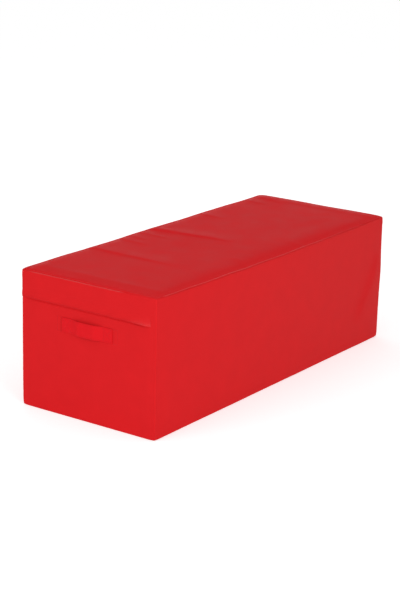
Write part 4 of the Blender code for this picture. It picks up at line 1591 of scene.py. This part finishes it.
@dataclass(frozen=True)
class Zip(SubAssembly):
    """Coil zip: two woven tapes, their nylon coils, and the metal slider and stops."""

    tape_depth: float = 6.0 * MM
    tape_thickness: float = 0.6 * MM
    tape_gap: float = 1.3 * MM  # from each tape's edge to the zip's middle
    tape_pitch: float = 4 * MM
    tape_rows: int = 6
    seam_inset: float = 6 * MM
    seam_pitch: float = 5.0 * MM
    coil_depth: float = 6.3 * MM
    coil_in_slider: float = 5.5 * MM
    tooth_pitch: float = 2.2 * MM
    meshing: float = 0.4995  # the upper teeth's shift in pitches, just short of half a tooth
    tooth_half_width: float = 0.52 * MM
    tooth_half_depth: float = 0.9 * MM
    # Rings from a tooth's root to its tip: place past the middle, shares of the half width and half depth.
    tooth: tuple[Triple, ...] = (
        (-4.6 * MM, 0.75, 0.55),
        (-3.6 * MM, 0.9, 1.0),
        (-0.9 * MM, 1.0, 1.0),
        (0.1 * MM, 1.25, 0.95),
        (0.7 * MM, 0.5, 0.45),
    )
    sides: int = 6

    def build(self) -> None:
        """Build tapes, coils and seams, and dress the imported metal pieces."""
        self.build_tape(ZipHalf.LOWER, TAPE_BOTTOM, ZIP_LEVEL - self.tape_gap, "block")
        self.build_tape(ZipHalf.UPPER, ZIP_LEVEL + self.tape_gap, HEM_TOP, "lid")
        self.build_coil(ZipHalf.LOWER, 0.0, "block")
        self.build_coil(ZipHalf.UPPER, self.meshing, "lid")
        for node in ("zip_slider", "zip_pull_tab", "zip_start_stop", "zip_end_stop"):
            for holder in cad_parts[node].material_slots:
                holder.material = self.finishes.metal
            LOG.info("%s: packed shape, new finish", node)

    def build_tape(self, half: ZipHalf, bottom: float, top: float, body: str) -> None:
        """One tape: a ribbon of its width that follows the zip's line.

        Args:
            half: Which half of the zip.
            bottom: Height of its lower edge.
            top: Height of its upper edge.
            body: The body that it rides on.
        """
        run = ZipRun(self.tape_depth, ZIP_FRONT, ZIP_FRONT)
        place = np.linspace(0.0, run.length, int(run.length / self.tape_pitch))
        levels = np.linspace(bottom, top, self.tape_rows)
        points, _, normals = run.at(place, 0.0)
        grid = np.repeat(points[:, None], len(levels), axis=1)
        grid[..., 2] = levels[None]
        facing = np.repeat(normals[:, None], len(levels), axis=1)
        uv = np.stack(np.meshgrid(place, levels, indexing="ij"), axis=-1)
        shell = Surface(grid, facing, uv, np.zeros(grid.shape[:2])).thickened(self.tape_thickness)
        tape = shell.piece(f"zip_{half.label}_tape", self.finishes.tape)
        dress(tape, (f"zip_tape_{half.label}",), body)
        is_lower = half is ZipHalf.LOWER
        line, _, out = run.at(place, bottom + self.seam_inset if is_lower else top - self.seam_inset)
        inward = StitchRow(pitch=self.seam_pitch).along(line - out * self.tape_thickness, -out)
        stitches = self.stitches(inward, tape.name, body)

    def build_coil(self, half: ZipHalf, shift: float, body: str) -> None:
        """One coil: a tooth for each turn of the filament, standing from its tape past the middle.

        A tooth is five rings from its root to its tip. The rings' half width and half depth make it
        a bar with a swollen head, so that teeth of the two sides lie between one another.

        Args:
            half: Which half of the zip.
            shift: How far its teeth are moved along the zip, in pitches.
            body: The body that it rides on.
        """
        name, node = f"zip_{half.label}_coil", f"zip_coil_{half.label}"
        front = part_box(node)[0].y
        run = ZipRun(self.coil_depth, front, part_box("zip_slider")[0].y + self.coil_in_slider)
        count = int(run.length / self.tooth_pitch)
        place = (np.arange(count) + 0.5 + shift) * run.length / (count + 1)
        centre, heading, out = (part[:, None, None] for part in run.at(place, ZIP_LEVEL))
        reach, width, depth = (np.array(row)[:, None] for row in zip(*self.tooth))
        angle = np.arange(self.sides) * math.tau / self.sides
        aside = (self.tooth_half_width * width * np.cos(angle))[..., None] * heading
        outward = (self.tooth_half_depth * depth * np.sin(angle))[..., None] * out
        points = (centre + aside + outward - half.value * reach[..., None] * UP).reshape(count, -1, 3)
        quads, _ = tube(len(self.tooth), self.sides)
        fan = np.array([[0, k + 1, k + 2] for k in range(self.sides - 2)])
        triangles = np.concatenate([fan[:, ::-1], fan + (len(self.tooth) - 1) * self.sides])
        if half is ZipHalf.UPPER:
            quads, triangles = quads[:, ::-1], triangles[:, ::-1]
        piece = Shell.repeated(points, quads, triangles).piece(name, self.finishes.coil)
        dress(piece, (node,), body)


# The foam


@dataclass(frozen=True)
class FoamLayers(SubAssembly):
    """Four glued layers of foam that fill the cover."""

    side_gap: float = 4.0 * MM
    front_gap: float = 6.0 * MM
    top_gap: float = 7.0 * MM
    plan_radius: float = 14 * MM
    roll_height: float = 5 * MM
    pitch: float = 25 * MM

    def build(self) -> None:
        """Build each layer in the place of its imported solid."""
        layers = {
            "foam_base_layer": ("firm_base_foam", "firm_foam", self.finishes.firm_foam, 0.0),
            "foam_lower_core": ("lower_core_foam", "core_foam", self.finishes.core_foam, 0.0),
            "foam_upper_core": ("upper_core_foam", "core_foam", self.finishes.core_foam, 0.0),
            "foam_top_layer": ("firm_top_foam", "firm_foam", self.finishes.firm_foam, self.top_gap),
        }
        for node, (name, slot, material, lowered) in layers.items():
            low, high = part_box(node)
            box = RoundedBox(
                (low.x + self.side_gap, low.y + self.front_gap, low.z),
                (high.x - self.side_gap, high.y - self.side_gap, high.z - lowered),
                self.plan_radius,
                self.roll_height,
            )
            foam = self.block(box).piece(name, material)
            dress(foam, (node,), "block")

    def block(self, box: RoundedBox) -> Shell:
        """A closed rounded block: its six faces laid on the box and merged where they meet.

        Args:
            box: Its rounded box.

        Returns:
            The block.
        """
        sides = []
        for face in Face:
            _, _, across, along = face.value
            u = graded(box.low[across], box.high[across], (True, True), self.pitch)
            v = graded(box.low[along], box.high[along], (True, True), self.pitch)
            points, normals = box.skin(box.guide(face, u, v))
            points[..., 2] += FORM.sag(points)
            uv = np.stack(np.meshgrid(u, v, indexing="ij"), axis=-1)
            whole = Surface(points, normals, uv, np.zeros(points.shape[:2])).thickened(MM)
            quads = whole.quads[: (len(u) - 1) * (len(v) - 1)]  # the outer side's, which come first
            points, uv = points.reshape(-1, 3), uv.reshape(-1, 2)
            sides.append(Shell(points, quads, whole.triangles, uv, np.zeros(len(quads))))
        return Shell.joined(sides).welded()


# The strap handles


@dataclass(frozen=True)
class StrapHandle(SubAssembly):
    """Strap on an end: doubled coated fabric, sewn down at both ends over patches, with a free middle."""

    end: End
    half_length: float = 132 * MM
    half_width: float = 31.5 * MM
    thickness: float = 3.0 * MM
    swell: float = 0.35 * MM
    sewn: float = 52 * MM
    half_grip: float = 35 * MM
    sewn_gap: float = 0.3 * MM  # how far a sewn end stands off the face
    standoff: float = 12.0 * MM
    arch: float = 33 * MM
    edge_row: float = 5.0 * MM
    stitch_inset: float = 6.0 * MM
    stitch_height: float = 0.2 * MM
    dent: float = 0.55 * MM
    dent_width: float = 1.7 * MM
    pitch: float = 1.5 * MM
    columns: int = 44
    cap_steps: int = 6
    tip_rings: int = 5
    tip_angles: Span = (0.15, 1.4)  # round a free end's tip, where its first and last ring stand
    tip_least: float = 0.02  # square of the share of its thickness that the tip keeps
    row_inset: float = 3 * MM
    patch_reach: float = 30 * MM
    patch_length: float = 95 * MM
    patch_height: float = 71 * MM
    patch_thickness: float = 1.1 * MM
    patch_radius: float = 7 * MM
    patch_pitch: float = 2.5 * MM
    patch_row: float = 4 * MM  # from a patch's border to its row of stitches
    post_gap: float = 7 * MM  # from the strap's end to the patch's upright row
    patch_sunk: float = 0.15 * MM
    row_lift: float = 0.1 * MM
    hem_width: float = 9 * MM
    hem_ease: float = 2 * MM
    hem_height: float = 0.35 * MM
    hem_dent: float = 0.4 * MM
    post_dent: float = 0.45 * MM
    row_width: float = 1.4 * MM
    rim_width: float = 0.8 * MM

    @property
    def face_x(self) -> float:
        """X of the end's outer face."""
        return self.end.value * HALF_LENGTH

    @property
    def stitched(self) -> Triple:
        """The box of stitches on a sewn end: its far and near place along the strap and its half height."""
        inset = self.stitch_inset
        return self.half_length - inset, self.half_length - self.sewn + inset, self.half_width - inset

    def build(self) -> None:
        """Build the strap's three lengths, its stitches and its two patches."""
        label = self.end.label
        grip_body = f"{label}_grip"
        grip = self.strap(-self.half_grip, self.half_grip).piece(f"{label}_grip_strap", self.finishes.strap)
        dress(grip, (f"{label}_strap_grip",), grip_body)
        self.stitches(self.edge_rows(-self.half_grip, self.half_grip), f"{label}_grip_edge", grip_body)
        for where in StrapEnd:
            name, sign = f"{label}_{where.label}", where.value
            start, stop = sorted((sign * self.half_grip, sign * self.half_length))
            strap = self.strap(start, stop).piece(f"{name}_strap", self.finishes.strap)
            dress(strap, (f"{label}_strap_{where.label}_end",))
            rows = self.stitches(self.edge_rows(start, stop), f"{name}_edge")
            for piece in (strap, rows):
                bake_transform(piece)
            self.stitches(self.box_rows(where), f"{name}_box", "block", f"{name}_box_stitch")
            self.build_patch(where)

    def stand(self, along: Grid) -> Grid:
        """How far the strap's inner side stands off: an ease from the sewn ends to the arch's middle.

        Args:
            along: Distance from the handle's middle.

        Returns:
            Distances from the face.
        """
        _, flat_from, _ = self.stitched
        share = (flat_from - np.abs(along)) / (flat_from - self.arch)
        return self.sewn_gap + self.standoff * smooth_step(share)

    def place(self, along: Grid, up: Grid, out: Grid) -> Grid:
        """Points of the strap from its own three directions.

        The distance out is laid off at right angles to the strap's line, whose slope is a central
        difference of how far it stands off.

        Args:
            along: Distance from the handle's middle.
            up: Height from the strap's middle.
            out: Distance out from the strap's inner side.

        Returns:
            Points in the block's frame.
        """
        step = 0.1 * MM
        slope = (self.stand(along + step) - self.stand(along - step)) / (2 * step)
        length = np.sqrt(1 + slope**2)
        x = self.end.value * (HALF_LENGTH + self.stand(along) + out / length)
        return np.stack([x, along - slope * out / length, STRAP_LEVEL + up], axis=-1)

    def near_rows(self, along: Grid, up: Grid) -> Grid:
        """Dent of the strap's outer side at its rows of stitches: bell curves of the distances to them.

        Args:
            along: Distance from the handle's middle.
            up: Height from the strap's middle.

        Returns:
            Shares of the full dent.
        """
        far, near, tall = self.stitched
        half, from_middle = (far - near) / 2, np.abs(along) - (far + near) / 2
        edges = bell(np.abs(up) - (self.half_width - self.edge_row), self.dent_width)
        posts = [bell(np.abs(along) - post, self.dent_width) * (np.abs(up) < tall) for post in (far, near)]
        rise, inside = tall / half, np.abs(from_middle) < half + MM
        slanting = [(up + way * rise * from_middle) / math.hypot(1, rise) for way in (-1, 1)]
        slanting = [bell(away, self.dent_width) * inside for away in slanting]
        return np.maximum.reduce([edges, *posts, *slanting])

    def strap(self, start: float, stop: float) -> Shell:
        """A length of strap: its section carried along its line and closed at both ends.

        The section is two flat sides joined by half circles. The outer side dents at the stitches
        and swells a little between them. A free end is rounded off over half its thickness.

        Args:
            start: Where it starts along the handle.
            stop: Where it stops.

        Returns:
            A closed shell.
        """
        half, count = self.thickness / 2, self.columns
        along = np.linspace(start, stop, max(int((stop - start) / self.pitch), 2) + 1)
        for tip in (start, stop):
            if abs(abs(tip) - self.half_length) < HAIR:
                turned = np.linspace(*self.tip_angles, self.tip_rings)
                extra = tip - math.copysign(half, tip) * (1 - np.cos(turned))
                along = np.unique(np.round(np.concatenate([along, extra]), 6))
        flat = self.half_width - half
        across = np.linspace(-flat, flat, count)
        cap = np.linspace(math.pi / 2, -math.pi / 2, self.cap_steps + 1)[1:-1]
        turn = half * np.sin(cap)
        up = np.concatenate([across, flat + half * np.cos(cap), across[::-1], -flat - half * np.cos(cap)])
        out = np.concatenate([np.full(count, half), turn, np.full(count, -half), -turn])
        up_grid, along_grid = np.broadcast_arrays(up[None], along[:, None])
        outer = np.arange(len(up)) < count
        swell = self.swell * (1 - (up_grid / self.half_width) ** 2)
        shift = outer * (swell - self.dent * self.near_rows(along_grid, up_grid))
        tip = np.clip((np.abs(along_grid) - (self.half_length - half)) / half, 0, 1)
        squeeze = np.sqrt(np.maximum(1 - tip**2, self.tip_least))
        points = self.place(along_grid, up_grid, half + (out[None] + shift) * squeeze)
        quads, caps = tube(len(along), len(up))
        if self.end is End.RIGHT:
            quads, caps = quads[:, ::-1], caps[:, ::-1]
        uv = np.stack([along_grid, up_grid], axis=-1).reshape(-1, 2)
        return Shell(
            np.concatenate([points.reshape(-1, 3), points[[0, -1]].mean(axis=1)]),
            quads, caps, np.concatenate([uv, [[start, 0.0], [stop, 0.0]]]), np.zeros(len(quads)),
        )

    def row(self, along: Grid, up: Grid) -> Shell:
        """Stitches along a line on the strap's outer side.

        Args:
            along: Distances from the handle's middle.
            up: Heights from the strap's middle.

        Returns:
            The stitches.
        """
        out = np.full_like(along, self.thickness - self.dent + self.stitch_height)
        line = self.place(along, up, out)
        return StitchRow().along(line, unit(self.place(along, up, out + MM) - line))

    def edge_rows(self, start: float, stop: float) -> Shell:
        """The two rows along the strap's long edges.

        Args:
            start: Where that length of strap starts.
            stop: Where it stops.

        Returns:
            The stitches.
        """
        low = start + self.row_inset if abs(start) > self.half_grip + MM else start
        high = stop - self.row_inset if abs(stop) > self.half_grip + MM else stop
        along = np.linspace(low, high, num=60)
        level = self.half_width - self.edge_row
        return Shell.joined([self.row(along, np.full_like(along, side * level)) for side in (-1, 1)])

    def box_rows(self, where: StrapEnd) -> Shell:
        """The rows that sew one end down: two uprights and two diagonals.

        Args:
            where: Which end of the strap.

        Returns:
            The stitches.
        """
        far, near, tall = self.stitched
        uprights = (near, -tall, near, tall), (far, -tall, far, tall)
        diagonals = (near, -tall, far, tall), (near, tall, far, -tall)
        rows = [straight(*line, count=30) for line in uprights + diagonals]
        return Shell.joined([self.row(where.value * along, up) for along, up in rows])

    def build_patch(self, where: StrapEnd) -> None:
        """A patch under a sewn end: a rectangle of cloth with rounded corners, its border turned under.

        In a corner's square each share of the radius is multiplied by the root of one less half the
        other's square, which makes the square a quarter disc.

        Args:
            where: Which end of the strap.
        """
        facing, sign, radius = self.end.value, where.value, self.patch_radius
        name = f"{self.end.label}_{where.label}_patch"
        centre = self.half_length + self.patch_reach - self.patch_length / 2
        half = np.array((self.patch_length, self.patch_height)) / 2
        spread = [graded(-side, side, (True, True), self.patch_pitch) for side in half]
        grid = np.stack(np.meshgrid(*spread, indexing="ij"), axis=-1)
        past = np.clip((np.abs(grid) - half + radius) / radius, 0, 1)
        rounded = radius * past * np.sqrt(1 - past[..., ::-1] ** 2 / 2)
        place = np.sign(grid) * (np.minimum(np.abs(grid), half - radius) + rounded)
        edge = np.min(half - np.abs(grid), axis=-1)
        post = self.half_length + self.post_gap - centre
        lift = self.hem_height * smooth_step((self.hem_width - edge) / self.hem_ease)
        lift -= self.hem_dent * (bell(edge - self.patch_row, self.row_width) + bell(edge, self.rim_width))
        lift -= self.post_dent * bell(grid[..., 0] - post, self.row_width) * (edge > self.patch_row)
        x = facing * (HALF_LENGTH - self.patch_sunk + lift)
        points = np.stack([x, sign * (centre + place[..., 0]), STRAP_LEVEL + place[..., 1]], axis=-1)
        normals = np.broadcast_to((facing, 0.0, 0.0), points.shape)
        cloth = Surface(points, normals, grid, np.zeros(lift.shape)).thickened(self.patch_thickness)
        patch = cloth.piece(f"{name}_cloth", self.finishes.cover)
        dress(patch, (name,), "block")
        wide, tall = half - self.patch_row
        lines = (
            (-wide, -tall, wide, -tall), (wide, -tall, wide, tall), (wide, tall, -wide, tall),
            (-wide, tall, -wide, -tall), (post, -tall, post, tall),
        )
        rows = []
        for along, up in (straight(*line, count=12) for line in lines):
            out = np.full_like(along, facing * (HALF_LENGTH + self.row_lift))
            line = np.stack([out, sign * (centre + along), STRAP_LEVEL + up], axis=-1)
            rows.append(StitchRow().along(line, np.broadcast_to((facing, 0.0, 0.0), line.shape)))
        stitches = self.stitches(Shell.joined(rows), name, "block")
        f"{self.end.label}_lower_cover_panel"


# Camera, light and background


@dataclass(frozen=True)
class PanelLamp:
    """A broad soft panel lamp that stands beside the block and that no lens or gloss sees."""

    name: str
    place: Triple
    aim: Triple
    watts: float
    size: float = 2.6

    def build(self) -> None:
        """Stand the lamp up, facing the point that it aims at."""
        data = bpy.data.lights.new(self.name, "AREA")
        data.energy = self.watts
        data.size = self.size
        lamp = bpy.data.objects.new(self.name, data)
        lamp.location = self.place
        lamp.rotation_mode = "QUATERNION"
        lamp.rotation_quaternion = (Vector(self.place) - Vector(self.aim)).to_track_quat("Z", "Y")
        lamp.visible_camera = lamp.visible_glossy = False
        bpy.context.scene.collection.objects.link(lamp)


@dataclass(frozen=True)
class Studio:
    """The photograph's camera, a white floor and plain soft light."""

    azimuth: float = -54.908
    elevation: float = 16.594
    roll: float = 1.357
    place: Triple = (-5.9810, -4.1291, 2.4871)
    focal_px: float = 1678.9
    frame_height_px: float = 600.0
    sensor: float = 36.0
    floor_size: float = 90.0
    ambient: float = 0.58
    lamps: tuple[PanelLamp, ...] = (
        PanelLamp("end_light", (-5.6, 0.9, 2.3), (-0.9, 0.0, 0.3), 60.0),
        PanelLamp("front_light", (-3.2, -5.2, 2.0), (-0.3, -0.35, 0.3), 116.0),
        PanelLamp("rear_light", (3.0, 3.6, 2.3), (0.3, 0.1, 0.4), 16.0),
    )

    def build(self) -> None:
        """Set up the camera, the world, the floor, the lamps and the view transform."""
        self.build_camera()
        self.build_world()
        self.build_floor()
        for lamp in self.lamps:
            lamp.build()
        bpy.context.scene.view_settings.view_transform = "Standard"

    def build_camera(self) -> None:
        """Camera at the solved place: its line of sight from azimuth and elevation, then rolled about it."""
        azimuth, elevation, roll = (math.radians(a) for a in (self.azimuth, self.elevation, self.roll))
        level = math.cos(elevation)
        ahead = Vector((-math.sin(azimuth) * level, math.cos(azimuth) * level, -math.sin(elevation)))
        right = ahead.cross(Vector((0, 0, 1))).normalized()
        up = right.cross(ahead)
        turned_right = right * math.cos(roll) + up * math.sin(roll)
        turned_up = up * math.cos(roll) - right * math.sin(roll)
        data = bpy.data.cameras.new("photo_camera")
        data.sensor_width = self.sensor
        data.lens = self.focal_px / self.frame_height_px * self.sensor
        camera = bpy.data.objects.new("photo_camera", data)
        matrix = Matrix((turned_right, turned_up, -ahead)).transposed().to_4x4()
        matrix.translation = Vector(self.place)
        camera.matrix_world = matrix
        bpy.context.scene.collection.objects.link(camera)
        bpy.context.scene.camera = camera

    def build_world(self) -> None:
        """World: white to camera, glossy and clear rays, and a plain grey light to the rest."""
        world = bpy.data.worlds.new("studio")
        world.use_nodes = True
        tree = world.node_tree
        tree.nodes.clear()
        seen = seen_by_camera(tree, 1 - self.ambient)
        strength = add_node(tree, "Math", {0: seen, 1: self.ambient}, operation="ADD")
        sky = add_node(tree, "Background", {"Color": WHITE, "Strength": strength})
        add_node(tree, "OutputWorld", {"Surface": sky})
        bpy.context.scene.world = world

    def build_floor(self) -> None:
        """A wide flat floor at height 0."""
        reach = self.floor_size / 2
        mesh = bpy.data.meshes.new("studio_floor")
        corners = [(-reach, -reach, 0), (reach, -reach, 0), (reach, reach, 0), (-reach, reach, 0)]
        mesh.from_pydata(corners, [], [(0, 1, 2, 3)])
        mesh.materials.append(StudioPaper().build())
        floor = bpy.data.objects.new("studio_floor", mesh)
        bpy.context.scene.collection.objects.link(floor)


def main() -> None:
    """Build the block's looks and the studio."""
    logging.basicConfig(level=logging.INFO, format="%(name)s %(message)s")
    finishes = Finishes.build()
    for kind in (FoamLayers, CoverPanels, ZipFlaps, Zip):
        kind(finishes).build()
    for end in End:
        StrapHandle(finishes, end).build()
    Studio().build()


if __name__ == "__main__":
    main()
